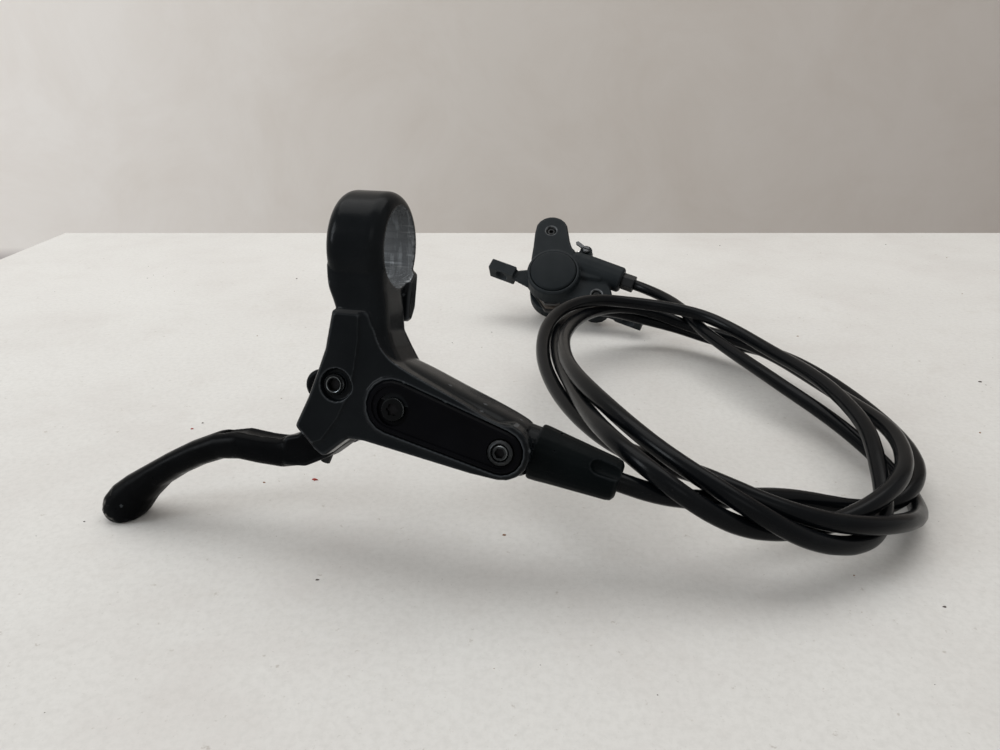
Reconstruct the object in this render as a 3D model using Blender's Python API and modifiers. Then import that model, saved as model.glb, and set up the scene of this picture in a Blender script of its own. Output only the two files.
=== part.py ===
"""Hydraulic disc brake for a bicycle: a flat-bar lever, its coiled hose and a post-mount caliper.

Units are metres, +Z is up. The lever stands on the tip of its blade and the caliper lies on its back.
Lever pieces are drawn in the lever's own frame: x along the handlebar, y away from the cover, z towards the bar.
Caliper pieces are drawn in the caliper's own frame: x from ear to ear, y away from the wheel hub, z along the piston.
"""

import math

import bmesh
import bpy
from mathutils import Matrix, Vector

# Where the lever and the caliper lie
LEVER_PLACE = (-0.0106, -0.0892, 0.0860)
LEVER_LEAN = math.radians(-17.0)
LEVER_YAW = math.radians(-15.0)
CALIPER_PLACE = (0.0537, 0.0890, 0.0312)
CALIPER_TURN = (math.radians(39.97), math.radians(13.28), math.radians(-23.2))

# Gap between pieces that touch
FIT = 0.0003

# Handlebar clamp
BAR_DIAMETER = 0.0222
CLAMP_WALL = 0.0042
CLAMP_WIDTH = 0.0166
CLAMP_MIDDLE_X = 0.0002
CLAMP_ROUNDING = 0.0040
CLAMP_SLIT = 0.0014
SLIT_DEPTH_PLACE = 0.0055
CLAMP_EAR_THICKNESS = 0.0062
CLAMP_EAR_LENGTH = 0.0058
CLAMP_BOLT_DIAMETER = 0.0046
CLAMP_BOLT_HEAD_DIAMETER = 0.0082
CLAMP_BOLT_HEAD_HEIGHT = 0.0045

# Lever housing
FRONT_FACE = -0.0132
BACK_FACE = 0.0098
FORK_SLOT_FRONT = -0.0062
FORK_SLOT_BACK = 0.0052
FORK_SLOT_END = 0.0046
FORK_SLOT_TOP = -0.0275
PIVOT_X = -0.0033
PIVOT_Z = -0.0387
PAD_RISE = 0.0005

# Pivot
PIVOT_DIAMETER = 0.0048
PIVOT_HEAD_DIAMETER = 0.0060
PIVOT_HEAD_HEIGHT = 0.0013
PIVOT_RECESS_DIAMETER = 0.0092
PIVOT_RECESS_SHIFT = 0.0007
BUSH_WALL = 0.0008

# Master cylinder
MASTER_SLOPE = math.radians(20.0)
MASTER_ARM = 0.0070
MASTER_BORE = 0.0090
MASTER_DEPTH_PLACE = 0.0008
MASTER_START = 0.0050
MASTER_LENGTH = 0.0390
PISTON_PLACE = 0.0160
PISTON_LENGTH = 0.0105
PUSHROD_DIAMETER = 0.0040
SPRING_WIRE = 0.0007
SPRING_TURNS = 5

# Reservoir and cover
COVER_OUTER_X = 0.0141
COVER_OUTER_Z = -0.0429
COVER_OUTER_RADIUS = 0.0071
COVER_INNER_X = 0.0450
COVER_INNER_Z = -0.0515
COVER_INNER_RADIUS = 0.0057
COVER_THICKNESS = 0.0022
COVER_STAND = 0.0009
COVER_FIELD_DEPTH = 0.0004
RIM_WIDTH = 0.0012
RESERVOIR_DEPTH = 0.0040
DIAPHRAGM_THICKNESS = 0.0006
COVER_SCREW_DIAMETER = 0.0028
OUTER_SCREW_SHIFT = 0.0007
OUTER_SCREW_RECESS = 0.0092
INNER_SCREW_RECESS = 0.0076

# Hose, nuts, olives and boot
HOSE_DIAMETER = 0.0055
PORT_X = 0.0515
PORT_Z = -0.0527
PORT_SLOPE = math.radians(13.1)
PORT_NECK_DIAMETER = 0.0138
PORT_NECK_LENGTH = 0.0060
PORT_BORE = 0.0082
PORT_DEPTH = 0.0120
NUT_ACROSS = 0.0080
NUT_HEAD = 0.0045
CALIPER_NUT_HEAD = 0.0066
BOOT_LENGTH = 0.0243
BOOT_BIG_DIAMETER = 0.0158
BOOT_SMALL_DIAMETER = 0.0120
BOOT_GROOVE_DIAMETER = 0.0046
BOOT_GROOVE_LENGTH = 0.0085

# Lever blade
BLADE_ROOT_WIDTH = 0.0108
ROOT_FRONT = 0.0062
BLADE_GRIP_WIDTH = 0.0128
REACH_SCREW_DIAMETER = 0.0030

# Caliper body
MID_PLANE = -0.0159
CALIPER_DEPTH = 0.0326
BOSS_DIAMETER = 0.0284
BOSS_FACE = -0.0008
CAP_RIM = 0.0020
CAP_THICKNESS = 0.0031
BORE_WALL = 0.0035
TONGUE_FACE = -0.0026
WEB_FACE = -0.0040
LUG_FACE = -0.0060
INNER_WEB_FACE = -0.0234
TONGUE_BOLT_REACH = 0.0098
LUG_BOLT_REACH = 0.0078
BOLT_DROP = 0.0010
BODY_BOLT_DIAMETER = 0.0050
BODY_BOLT_HEAD_DIAMETER = 0.0080
BODY_BOLT_HEAD_HEIGHT = 0.0042
TONGUE_RADIUS = 0.0090
LUG_RADIUS = 0.0083
PAD_TURN = math.radians(-34.5)
ARM_WIDTH = 0.0134
ARM_THICKNESS = 0.0124
ARM_LENGTH = 0.0343
ARM_DROP = 0.0012
ARM_Z = -0.0086

# Post-mount ears
EAR_SPACING = 0.0740
EAR_MIDDLE_X = 0.0090
EAR_FACE = -0.0080
EAR_THICKNESS = 0.0056
EAR_LENGTH = 0.0142
EAR_DEPTH = 0.0092
EAR_DEPTH_PLACE = -0.0109
EAR_SLOT_DIAMETER = 0.0064
EAR_SLOT_TRAVEL = 0.0010

# Pads and disc, the pads sized from the boss
PISTON_SEAL = 0.0020
DISC_GAP = 0.0022
DISC_DIAMETER = 0.1600
DISC_REACH = 0.0105
LINING_THICKNESS = 0.0017
PLATE_THICKNESS = 0.0017
PAD_SIDE = 0.0012
PAD_OVER = 0.0006
PAD_UNDER = 0.0027
PIN_INSET = 0.0080
PIN_REACH = 0.0096
NIPPLE_RISE = 0.0082
INNER_ROUND = 0.0048
PIN_DIAMETER = 0.0026
PIN_BOSS_RADIUS = 0.0034
SPRING_SHEET = 0.0004

# The hose's way from the boot to the coil, round the coil, and on to the caliper
FIRST_RUN = [(0.0705, -0.1265, 0.0258), (0.0790, -0.1240, 0.0208), (0.0842, -0.1189, 0.0161)]
LAST_RUN = [(0.1062, 0.0812, 0.0208), (0.1106, 0.0706, 0.0190), (0.1124, 0.0552, 0.0171)]
COIL_WAY = [
    (0.0430, -0.0100, 0.0240), (0.0510, 0.0300, 0.0240), (0.0730, 0.0570, 0.0220),
    (0.1010, 0.0520, 0.0180), (0.1290, 0.0250, 0.0130), (0.1510, -0.0150, 0.0090),
    (0.1570, -0.0550, 0.0076), (0.1460, -0.1000, 0.0076), (0.1160, -0.1200, 0.0076),
    (0.0870, -0.1130, 0.0110), (0.0650, -0.0880, 0.0170), (0.0480, -0.0500, 0.0220),
]
COIL_THICKNESS = 0.0150

ROUND = 20

for old in list(bpy.data.objects):
    bpy.data.objects.remove(old)

parts = bpy.data.collections.new("hydraulic_disc_brake")
cutters = bpy.data.collections.new("cutters")
bpy.context.scene.collection.children.link(parts)
bpy.context.scene.collection.children.link(cutters)


def look(name, color, roughness, metallic=0.0):
    """A plain Principled material."""
    made = bpy.data.materials.new(name)
    made.use_nodes = True
    shader = made.node_tree.nodes["Principled BSDF"]
    shader.inputs["Base Color"].default_value = (*color, 1.0)
    shader.inputs["Roughness"].default_value = roughness
    shader.inputs["Metallic"].default_value = metallic
    return made


CAST_BLACK = look("cast_black", (0.012, 0.013, 0.014), 0.42)
CALIPER_BLACK = look("caliper_black", (0.022, 0.024, 0.026), 0.55)
CAP_BLACK = look("cap_black", (0.018, 0.019, 0.021), 0.5)
RUBBER = look("rubber", (0.010, 0.010, 0.011), 0.6)
SEAL_RUBBER = look("seal_rubber", (0.02, 0.02, 0.02), 0.7)
HOSE_BLACK = look("hose_black", (0.008, 0.008, 0.009), 0.33)
BRIGHT_STEEL = look("bright_steel", (0.55, 0.55, 0.54), 0.28, 1.0)
BLACK_STEEL = look("black_steel", (0.03, 0.03, 0.032), 0.38, 0.6)
BRASS = look("brass", (0.6, 0.45, 0.2), 0.35, 1.0)
ALUMINIUM = look("aluminium", (0.62, 0.62, 0.63), 0.35, 1.0)
PHENOLIC = look("phenolic", (0.55, 0.52, 0.46), 0.5)
LINING = look("lining", (0.09, 0.075, 0.065), 0.9)


def frame(name, place, turn=(0.0, 0.0, 0.0), parent=None):
    """An empty that carries pieces."""
    made = bpy.data.objects.new(name, None)
    made.location = place
    made.rotation_euler = turn
    made.parent = parent
    parts.objects.link(made)
    return made


lever_frame = frame("lever_frame", LEVER_PLACE, (LEVER_LEAN, 0.0, LEVER_YAW))
caliper_frame = frame("caliper_frame", CALIPER_PLACE, CALIPER_TURN)
pad_frame = frame("pad_frame", (0.0, 0.0, 0.0), (0.0, 0.0, PAD_TURN), caliper_frame)


def add(name, mesh, parent, finish=None, matrix=None):
    """Links a mesh as a piece, or as a hidden cutter where it has no finish."""
    made = bpy.data.objects.new(name, mesh)
    made.parent = parent
    if matrix is not None:
        made.matrix_local = matrix
    if finish is None:
        made.hide_render = True
        made.display_type = "WIRE"
        cutters.objects.link(made)
    else:
        mesh.materials.append(finish)
        parts.objects.link(made)
    return made


def mesh_of(name, shape):
    """Turns a bmesh into a smooth-shaded mesh."""
    bmesh.ops.recalc_face_normals(shape, faces=shape.faces)
    mesh = bpy.data.meshes.new(name)
    shape.to_mesh(mesh)
    shape.free()
    mesh.shade_smooth()
    mesh.set_sharp_from_angle(angle=math.radians(35.0))
    return mesh


def aim(start, direction):
    """The matrix that puts local +Z along a direction, at a point."""
    turn = Vector(direction).to_track_quat("Z", "Y").to_matrix().to_4x4()
    return Matrix.Translation(start) @ turn


def block(name, low, high, parent, finish=None):
    """A box between two corners."""
    shape = bmesh.new()
    bmesh.ops.create_cube(shape, size=1.0)
    size = [b - a for a, b in zip(low, high)]
    middle = [(a + b) / 2 for a, b in zip(low, high)]
    bmesh.ops.scale(shape, vec=size, verts=shape.verts)
    bmesh.ops.translate(shape, vec=middle, verts=shape.verts)
    return add(name, mesh_of(name, shape), parent, finish)


def rod(name, start, end, radius, parent, finish=None, sides=ROUND, end_radius=None):
    """A cylinder or cone between two points."""
    way = Vector(end) - Vector(start)
    shape = bmesh.new()
    bmesh.ops.create_cone(
        shape, cap_ends=True, segments=sides, depth=way.length,
        radius1=radius, radius2=radius if end_radius is None else end_radius,
    )
    bmesh.ops.translate(shape, vec=(0.0, 0.0, way.length / 2), verts=shape.verts)
    return add(name, mesh_of(name, shape), parent, finish, aim(start, way))


def turned(name, profile, start, direction, parent, finish=None, steps=ROUND, closed=False):
    """A profile of (radius, height) points, outer side top to bottom, turned about a direction."""
    mesh = bpy.data.meshes.new(name)
    points = [(radius, 0.0, height) for radius, height in profile]
    edges = [(i, i + 1) for i in range(len(points) - 1)]
    if closed:
        edges.append((len(points) - 1, 0))
    mesh.from_pydata(points, edges, [])
    made = add(name, mesh, parent, finish, aim(start, direction))
    screw = made.modifiers.new("turn", "SCREW")
    screw.steps = steps
    screw.render_steps = steps
    screw.use_merge_vertices = True
    screw.merge_threshold = 0.00001
    screw.use_smooth_shade = True
    return made


def ring(name, inner, outer, low, high, start, direction, parent, finish=None, steps=ROUND):
    """A plain tube turned about a direction."""
    profile = [(outer, high), (outer, low), (inner, low), (inner, high)]
    return turned(name, profile, start, direction, parent, finish, steps, closed=True)


def arc(middle, radius, start, end, count):
    """Points on an arc, angles in degrees."""
    found = []
    for i in range(count):
        angle = math.radians(start + (end - start) * i / (count - 1))
        found.append((middle[0] + radius * math.cos(angle), middle[1] + radius * math.sin(angle)))
    return found


def flowing(points, steps, closed=True):
    """A smooth line through points of any dimension."""
    count = len(points)
    found = []
    for i in range(count if closed else count - 1):
        near = []
        for j in (i - 1, i, i + 1, i + 2):
            near.append(Vector(points[j % count] if closed else points[min(max(j, 0), count - 1)]))
        for k in range(steps):
            t = k / steps
            a = near[1] * 2 + (near[2] - near[0]) * t
            b = (near[0] * 2 - near[1] * 5 + near[2] * 4 - near[3]) * t ** 2
            c = (near[1] * 3 - near[0] - near[2] * 3 + near[3]) * t ** 3
            found.append(tuple((a + b + c) / 2))
    if not closed:
        found.append(tuple(points[-1]))
    return found


def curve_mesh(name, curve):
    """The mesh that a curve makes."""
    guide = bpy.data.objects.new(name + "_guide", curve)
    cutters.objects.link(guide)
    bpy.context.view_layer.update()
    graph = bpy.context.evaluated_depsgraph_get()
    mesh = bpy.data.meshes.new_from_object(guide.evaluated_get(graph))
    bpy.data.objects.remove(guide)
    mesh.materials.clear()
    return mesh


def flat(name, outline, low, high, parent, finish=None, upright=False):
    """A flat outline with thickness: along the frame's z, or along its y where it stands upright."""
    curve = bpy.data.curves.new(name, "CURVE")
    curve.dimensions = "2D"
    curve.fill_mode = "BOTH"
    curve.extrude = (high - low) / 2
    line = curve.splines.new("POLY")
    line.points.add(len(outline) - 1)
    for point, place in zip(line.points, outline):
        point.co = (place[0], place[1], 0.0, 1.0)
    line.use_cyclic_u = True
    shape = bmesh.new()
    shape.from_mesh(curve_mesh(name, curve))
    bmesh.ops.remove_doubles(shape, verts=shape.verts, dist=0.000001)
    middle = (low + high) / 2
    bmesh.ops.translate(shape, vec=(0.0, 0.0, -middle if upright else middle), verts=shape.verts)
    if upright:
        turn = Matrix.Rotation(math.radians(90.0), 3, "X")
        bmesh.ops.rotate(shape, cent=(0.0, 0.0, 0.0), matrix=turn, verts=shape.verts)
    bmesh.ops.dissolve_limit(
        shape, angle_limit=math.radians(0.5), verts=shape.verts, edges=shape.edges
    )
    return add(name, mesh_of(name, shape), parent, finish)


def tube(name, points, diameter, finish, parent=None, matrix=None, closed=False, sides=2):
    """A welded tube along a way through points."""
    curve = bpy.data.curves.new(name, "CURVE")
    curve.dimensions = "3D"
    curve.bevel_depth = diameter / 2
    curve.bevel_resolution = sides
    curve.use_fill_caps = True
    line = curve.splines.new("POLY")
    line.points.add(len(points) - 1)
    for point, place in zip(line.points, points):
        point.co = (*place, 1.0)
    line.use_cyclic_u = closed
    shape = bmesh.new()
    shape.from_mesh(curve_mesh(name, curve))
    bmesh.ops.remove_doubles(shape, verts=shape.verts, dist=0.000001)
    return add(name, mesh_of(name, shape), parent, finish, matrix)


def loft(name, rings, parent, finish=None, matrix=None):
    """A closed skin over rings of as many points each."""
    shape = bmesh.new()
    rows = [[shape.verts.new(point) for point in points] for points in rings]
    count = len(rows[0])
    for near, far in zip(rows, rows[1:]):
        for i in range(count):
            shape.faces.new((near[i], near[(i + 1) % count], far[(i + 1) % count], far[i]))
    shape.faces.new(rows[0])
    shape.faces.new(list(reversed(rows[-1])))
    return add(name, mesh_of(name, shape), parent, finish, matrix)


def oval(middle, side, up, half_side, half_up, power, count):
    """A ring of points on a superellipse."""
    found = []
    for i in range(count):
        angle = 2 * math.pi * (i + 0.5) / count
        c, s = math.cos(angle), math.sin(angle)
        across = math.copysign(abs(c) ** (2 / power), c) * half_side
        rise = math.copysign(abs(s) ** (2 / power), s) * half_up
        found.append(Vector(middle) + Vector(side) * across + Vector(up) * rise)
    return found


def stadium(outer_radius_change=0.0, count=10):
    """The outline of the reservoir cover, wider or narrower by a distance."""
    outer = (COVER_OUTER_X, COVER_OUTER_Z)
    inner = (COVER_INNER_X, COVER_INNER_Z)
    big = COVER_OUTER_RADIUS + outer_radius_change
    small = COVER_INNER_RADIUS + outer_radius_change
    return tapered(outer, big, inner, small, count)


def tapered(first, big, second, small, count=10):
    """Two circles joined by their outer tangents."""
    way = Vector(second) - Vector(first)
    slope = math.degrees(math.atan2(way[1], way[0]))
    lean = math.degrees(math.acos((big - small) / way.length))
    return arc(first, big, slope + lean, slope + 360 - lean, count) + arc(
        second, small, slope - lean, slope + lean, count
    )


def cut(piece, *tools):
    """Takes tools away from a piece."""
    for tool in tools:
        change = piece.modifiers.new("cut", "BOOLEAN")
        change.operation = "DIFFERENCE"
        change.object = tool


def join(piece, *others):
    """Adds shapes to a piece."""
    for other in others:
        change = piece.modifiers.new("join", "BOOLEAN")
        change.operation = "UNION"
        change.object = other


def soften(piece, width, segments=1, angle=40.0):
    """Rounds the edges sharper than an angle."""
    change = piece.modifiers.new("soften", "BEVEL")
    change.width = width
    change.segments = segments
    change.limit_method = "ANGLE"
    change.angle_limit = math.radians(angle)
    change.harden_normals = False


def hexagon(name, across, low, high, start, direction, parent, finish=None):
    """A six-sided prism, given its size across the flats."""
    made = rod(name, (0, 0, low), (0, 0, high), across / math.sqrt(3.0), parent, finish, sides=6)
    made.matrix_local = aim(start, direction) @ Matrix.Translation((0.0, 0.0, low))
    return made


BORE_RADIUS = BAR_DIAMETER / 2
RING_RADIUS = BORE_RADIUS + CLAMP_WALL
PIVOT = Vector((PIVOT_X, 0.0, PIVOT_Z))
MASTER_WAY = Vector((math.cos(MASTER_SLOPE), 0.0, -math.sin(MASTER_SLOPE)))
MASTER_UP = Vector((math.sin(MASTER_SLOPE), 0.0, math.cos(MASTER_SLOPE)))
MASTER_ORIGIN = PIVOT + MASTER_UP * MASTER_ARM + Vector((0.0, MASTER_DEPTH_PLACE, 0.0))
PORT = Vector((PORT_X, 0.0, PORT_Z))
PORT_WAY = Vector((math.cos(PORT_SLOPE), 0.0, -math.sin(PORT_SLOPE)))
Y_AXIS = Vector((0.0, 1.0, 0.0))
HOSE_HOLE = HOSE_DIAMETER / 2 + FIT
CLAMP_BOLT_Z = -BORE_RADIUS - FIT - 0.0024 - CLAMP_BOLT_DIAMETER / 2
CLAMP_BOLT_X = 0.0008
EAR_BACK = SLIT_DEPTH_PLACE + CLAMP_SLIT / 2 + CLAMP_EAR_THICKNESS
SLIT_FRONT = SLIT_DEPTH_PLACE - CLAMP_SLIT / 2
SLIT_BACK = SLIT_DEPTH_PLACE + CLAMP_SLIT / 2
COVER_TOP = FRONT_FACE - COVER_STAND
COVER_UNDER = COVER_TOP + COVER_THICKNESS
RESERVOIR_LEDGE = COVER_UNDER + DIAPHRAGM_THICKNESS + 2 * FIT
PORT_END = PORT_NECK_LENGTH


def on_master(distance):
    """A point on the master cylinder's axis."""
    return MASTER_ORIGIN + MASTER_WAY * distance


def on_port(distance):
    """A point on the hose port's axis."""
    return PORT + PORT_WAY * distance


def rounded_profile(radius, low, high, rounding, count=5):
    """A solid disc's profile with rounded rims."""
    top = [(radius - rounding + x, high - rounding + z) for x, z in arc((0, 0), rounding, 90, 0, count)]
    foot = [(radius - rounding + x, low + rounding + z) for x, z in arc((0, 0), rounding, 0, -90, count)]
    return [(0.0, high)] + top + foot + [(0.0, low)]


# Housing: clamp ring, neck, barrel, front plate and fork arms in one casting
FACE_OUTLINE = [
    (-0.0052, -0.0181), (0.0056, -0.0179), (0.0074, -0.0225), (0.0098, -0.0283), (0.0136, -0.0318),
    (0.0205, -0.0343), (0.0431, -0.0438),
    *arc((COVER_INNER_X, COVER_INNER_Z), COVER_INNER_RADIUS + 0.0020, 72, -96, 9),
    (0.0368, -0.0584), (0.0219, -0.0560), (0.0060, -0.0534), (0.0012, -0.0534), (-0.0022, -0.0563),
    (-0.0056, -0.0593), (-0.0084, -0.0576), (-0.0148, -0.0516), (-0.0112, -0.0432),
    (-0.0086, -0.0353), (-0.0067, -0.0291),
]
PAD_OUTLINE = [
    (-0.0045, -0.0188), (0.0034, -0.0188), (0.0036, -0.0260), (0.0030, -0.0335), (0.0016, -0.0410),
    (-0.0012, -0.0478), (-0.0060, -0.0548), (-0.0090, -0.0560), (-0.0140, -0.0514),
    (-0.0106, -0.0434), (-0.0080, -0.0353), (-0.0060, -0.0291),
]
ARM_OUTLINE = [
    (-0.0058, -0.0262), (0.0070, -0.0262), (0.0080, -0.0340), (0.0080, -0.0528), (0.0012, -0.0534),
    (-0.0056, -0.0593), (-0.0084, -0.0576), (-0.0148, -0.0516), (-0.0112, -0.0432),
    (-0.0086, -0.0353),
]
NECK_ROWS = [
    (-0.0060, -0.0086, 0.0084, -0.0130, SLIT_FRONT), (-0.0120, -0.0078, 0.0088, -0.0128, SLIT_FRONT),
    (-0.0180, -0.0054, 0.0098, -0.0124, SLIT_FRONT), (-0.0230, -0.0058, 0.0104, -0.0122, SLIT_FRONT),
    (-0.0275, -0.0064, 0.0118, -0.0121, 0.0082), (-0.0330, -0.0072, 0.0150, -0.0121, 0.0094),
]
BARREL_ROWS = [
    (0.0040, -0.0290, -0.0524, -0.0121, 0.0096), (0.0150, -0.0314, -0.0545, -0.0121, 0.0096),
    (0.0300, -0.0371, -0.0570, -0.0121, 0.0090), (0.0420, -0.0416, -0.0588, -0.0118, 0.0078),
    (0.0480, -0.0444, -0.0592, -0.0094, 0.0072), (0.0498, -0.0458, -0.0590, -0.0074, 0.0068),
]
OVAL_POINTS = 20


def make_housing():
    housing = flat("lever_housing", FACE_OUTLINE, FRONT_FACE, FORK_SLOT_FRONT - 0.0002,
                   lever_frame, CAST_BLACK, upright=True)
    soften(housing, 0.0009, segments=2)
    half = CLAMP_WIDTH / 2
    clamp = turned("clamp_form", rounded_profile(RING_RADIUS, -half, half, CLAMP_ROUNDING, 4),
                   (CLAMP_MIDDLE_X, 0, 0), (1, 0, 0), lever_frame, steps=36)
    neck_rings = []
    for z, left, right, near, far in NECK_ROWS:
        middle = ((left + right) / 2, (near + far) / 2, z)
        neck_rings.append(oval(middle, (1, 0, 0), (0, 1, 0), (right - left) / 2, (far - near) / 2,
                               6.0, OVAL_POINTS))
    neck = loft("neck_form", neck_rings, lever_frame)
    barrel_rings = []
    for x, top, foot, near, far in BARREL_ROWS:
        middle = (x, (near + far) / 2, (top + foot) / 2)
        barrel_rings.append(oval(middle, (0, 1, 0), (0, 0, 1), (far - near) / 2, (top - foot) / 2,
                                 3.4, OVAL_POINTS))
    barrel = loft("barrel_form", barrel_rings, lever_frame)
    port_neck = rod("port_neck_form", on_port(-0.0100), on_port(PORT_NECK_LENGTH),
                    PORT_NECK_DIAMETER / 2, lever_frame)
    soften(port_neck, 0.0006)
    arm = flat("fork_arm_form", ARM_OUTLINE, FORK_SLOT_BACK - 0.0010, BACK_FACE, lever_frame,
               upright=True)
    soften(arm, 0.0012)
    pad = flat("pad_form", PAD_OUTLINE, FRONT_FACE - PAD_RISE, FRONT_FACE + 0.0020, lever_frame,
               upright=True)
    soften(pad, 0.0004)
    rim = flat("rim_form", stadium(RIM_WIDTH), FRONT_FACE - PAD_RISE, FRONT_FACE + 0.0020,
               lever_frame, upright=True)
    soften(rim, 0.0004)
    foot = -BORE_RADIUS - CLAMP_WALL - CLAMP_EAR_LENGTH
    ear_outline = [
        (SLIT_BACK - 0.0006, -0.0060), (RING_RADIUS * 0.84, -0.0060), (EAR_BACK + 0.0004, -0.0110),
        (EAR_BACK, foot + 0.0040), (EAR_BACK - 0.0026, foot), (SLIT_BACK - 0.0006, foot + 0.0004),
    ]
    ear = flat("clamp_ear_form", ear_outline, -0.0074, 0.0096, lever_frame)
    ear.matrix_local = Matrix(((0, 0, 1, 0), (1, 0, 0, 0), (0, 1, 0, 0), (0, 0, 0, 1)))
    soften(ear, 0.0010)
    join(housing, clamp, neck, barrel, port_neck, arm, ear, pad, rim)

    bore = rod("bar_bore_cut", (-0.02, 0, 0), (0.02, 0, 0), BORE_RADIUS, lever_frame, sides=36)
    slit = block("slit_cut", (-0.015, SLIT_FRONT, foot - 0.0012), (0.015, SLIT_BACK, -BORE_RADIUS + 0.003),
                 lever_frame)
    bolt_hole = rod("clamp_bolt_cut", (CLAMP_BOLT_X, -0.0080, CLAMP_BOLT_Z),
                    (CLAMP_BOLT_X, 0.02, CLAMP_BOLT_Z), CLAMP_BOLT_DIAMETER / 2 + FIT, lever_frame)
    bolt_seat = rod("clamp_bolt_seat_cut", (CLAMP_BOLT_X, EAR_BACK - 0.0008, CLAMP_BOLT_Z),
                    (CLAMP_BOLT_X, 0.03, CLAMP_BOLT_Z), CLAMP_BOLT_HEAD_DIAMETER / 2 + FIT,
                    lever_frame)
    fork = block("fork_cut", (-0.03, FORK_SLOT_FRONT, -0.07), (FORK_SLOT_END, FORK_SLOT_BACK, FORK_SLOT_TOP),
                 lever_frame)
    pivot_hole = rod("pivot_cut", PIVOT + Y_AXIS * -0.03, PIVOT + Y_AXIS * 0.03,
                     PIVOT_DIAMETER / 2 + FIT, lever_frame)
    recess_floor = FRONT_FACE - PAD_RISE + PIVOT_HEAD_HEIGHT + 2 * FIT
    recess_middle = PIVOT + Vector((PIVOT_RECESS_SHIFT, 0.0, 0.0))
    pivot_recess = rod("pivot_recess_cut", recess_middle + Y_AXIS * -0.03, recess_middle + Y_AXIS * recess_floor,
                       PIVOT_RECESS_DIAMETER / 2, lever_frame)
    master = rod("master_cut", on_master(MASTER_START - 0.006), on_master(MASTER_START + MASTER_LENGTH),
                 MASTER_BORE / 2, lever_frame)
    passage = rod("passage_cut", on_master(MASTER_START + MASTER_LENGTH - 0.002),
                  on_port(-PORT_DEPTH + PORT_NECK_LENGTH + 0.001), 0.0011, lever_frame, sides=12)
    port = rod("port_cut", on_port(PORT_NECK_LENGTH - PORT_DEPTH), on_port(0.03), PORT_BORE / 2,
               lever_frame)
    seat = flat("cover_seat_cut", stadium(FIT), -0.03, RESERVOIR_LEDGE, lever_frame, upright=True)
    start, end = cavity_ends()
    cavity = flat("reservoir_cut", tapered(start, 0.0046, end, 0.0040, 7),
                  RESERVOIR_LEDGE - 0.001, RESERVOIR_LEDGE + RESERVOIR_DEPTH, lever_frame, upright=True)
    holes = [
        rod("cover_hole_cut_%d" % i, (x, -0.03, z), (x, RESERVOIR_LEDGE + 0.0048, z),
            COVER_SCREW_DIAMETER / 2 + FIT, lever_frame, sides=12)
        for i, (x, z) in enumerate(screw_places())
    ]
    boot_room = ring("boot_room_cut", PORT_NECK_DIAMETER / 2 + FIT / 2, BOOT_BIG_DIAMETER / 2 + 2 * FIT, -FIT, 0.02,
                     PORT, PORT_WAY, lever_frame)
    cut(housing, bore, slit, bolt_hole, bolt_seat, fork, pivot_hole, pivot_recess, master, passage,
        port, seat, cavity, boot_room, *holes)
    return housing


def screw_places():
    """Where the two cover screws stand."""
    outer = (COVER_OUTER_X + OUTER_SCREW_SHIFT / 2, COVER_OUTER_Z - OUTER_SCREW_SHIFT)
    return [outer, (COVER_INNER_X, COVER_INNER_Z)]


def cavity_ends():
    """The two ends of the oil space between the cover screws."""
    first = Vector((COVER_OUTER_X, COVER_OUTER_Z))
    way = Vector((COVER_INNER_X, COVER_INNER_Z)) - first
    start = first + way.normalized() * 0.0080
    end = first + way.normalized() * (way.length - 0.0070)
    return tuple(start), tuple(end)


def make_clamp_bolt():
    start = Vector((CLAMP_BOLT_X, 0.0, CLAMP_BOLT_Z))
    head_under = EAR_BACK - 0.0008 + FIT
    head_top = head_under + CLAMP_BOLT_HEAD_HEIGHT
    shank = CLAMP_BOLT_DIAMETER / 2
    head = CLAMP_BOLT_HEAD_DIAMETER / 2
    profile = [
        (0.0, head_top), (head - 0.0005, head_top), (head, head_top - 0.0005), (head, head_under),
        (shank, head_under), (shank, -0.0070), (shank - 0.0006, -0.0076), (0.0, -0.0076),
    ]
    bolt = turned("clamp_bolt", profile, start, Y_AXIS, lever_frame, BLACK_STEEL)
    cut(bolt, hexagon("clamp_socket_cut", 0.0040, head_top - 0.0026, head_top + 0.001, start, Y_AXIS,
                      lever_frame))


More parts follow.
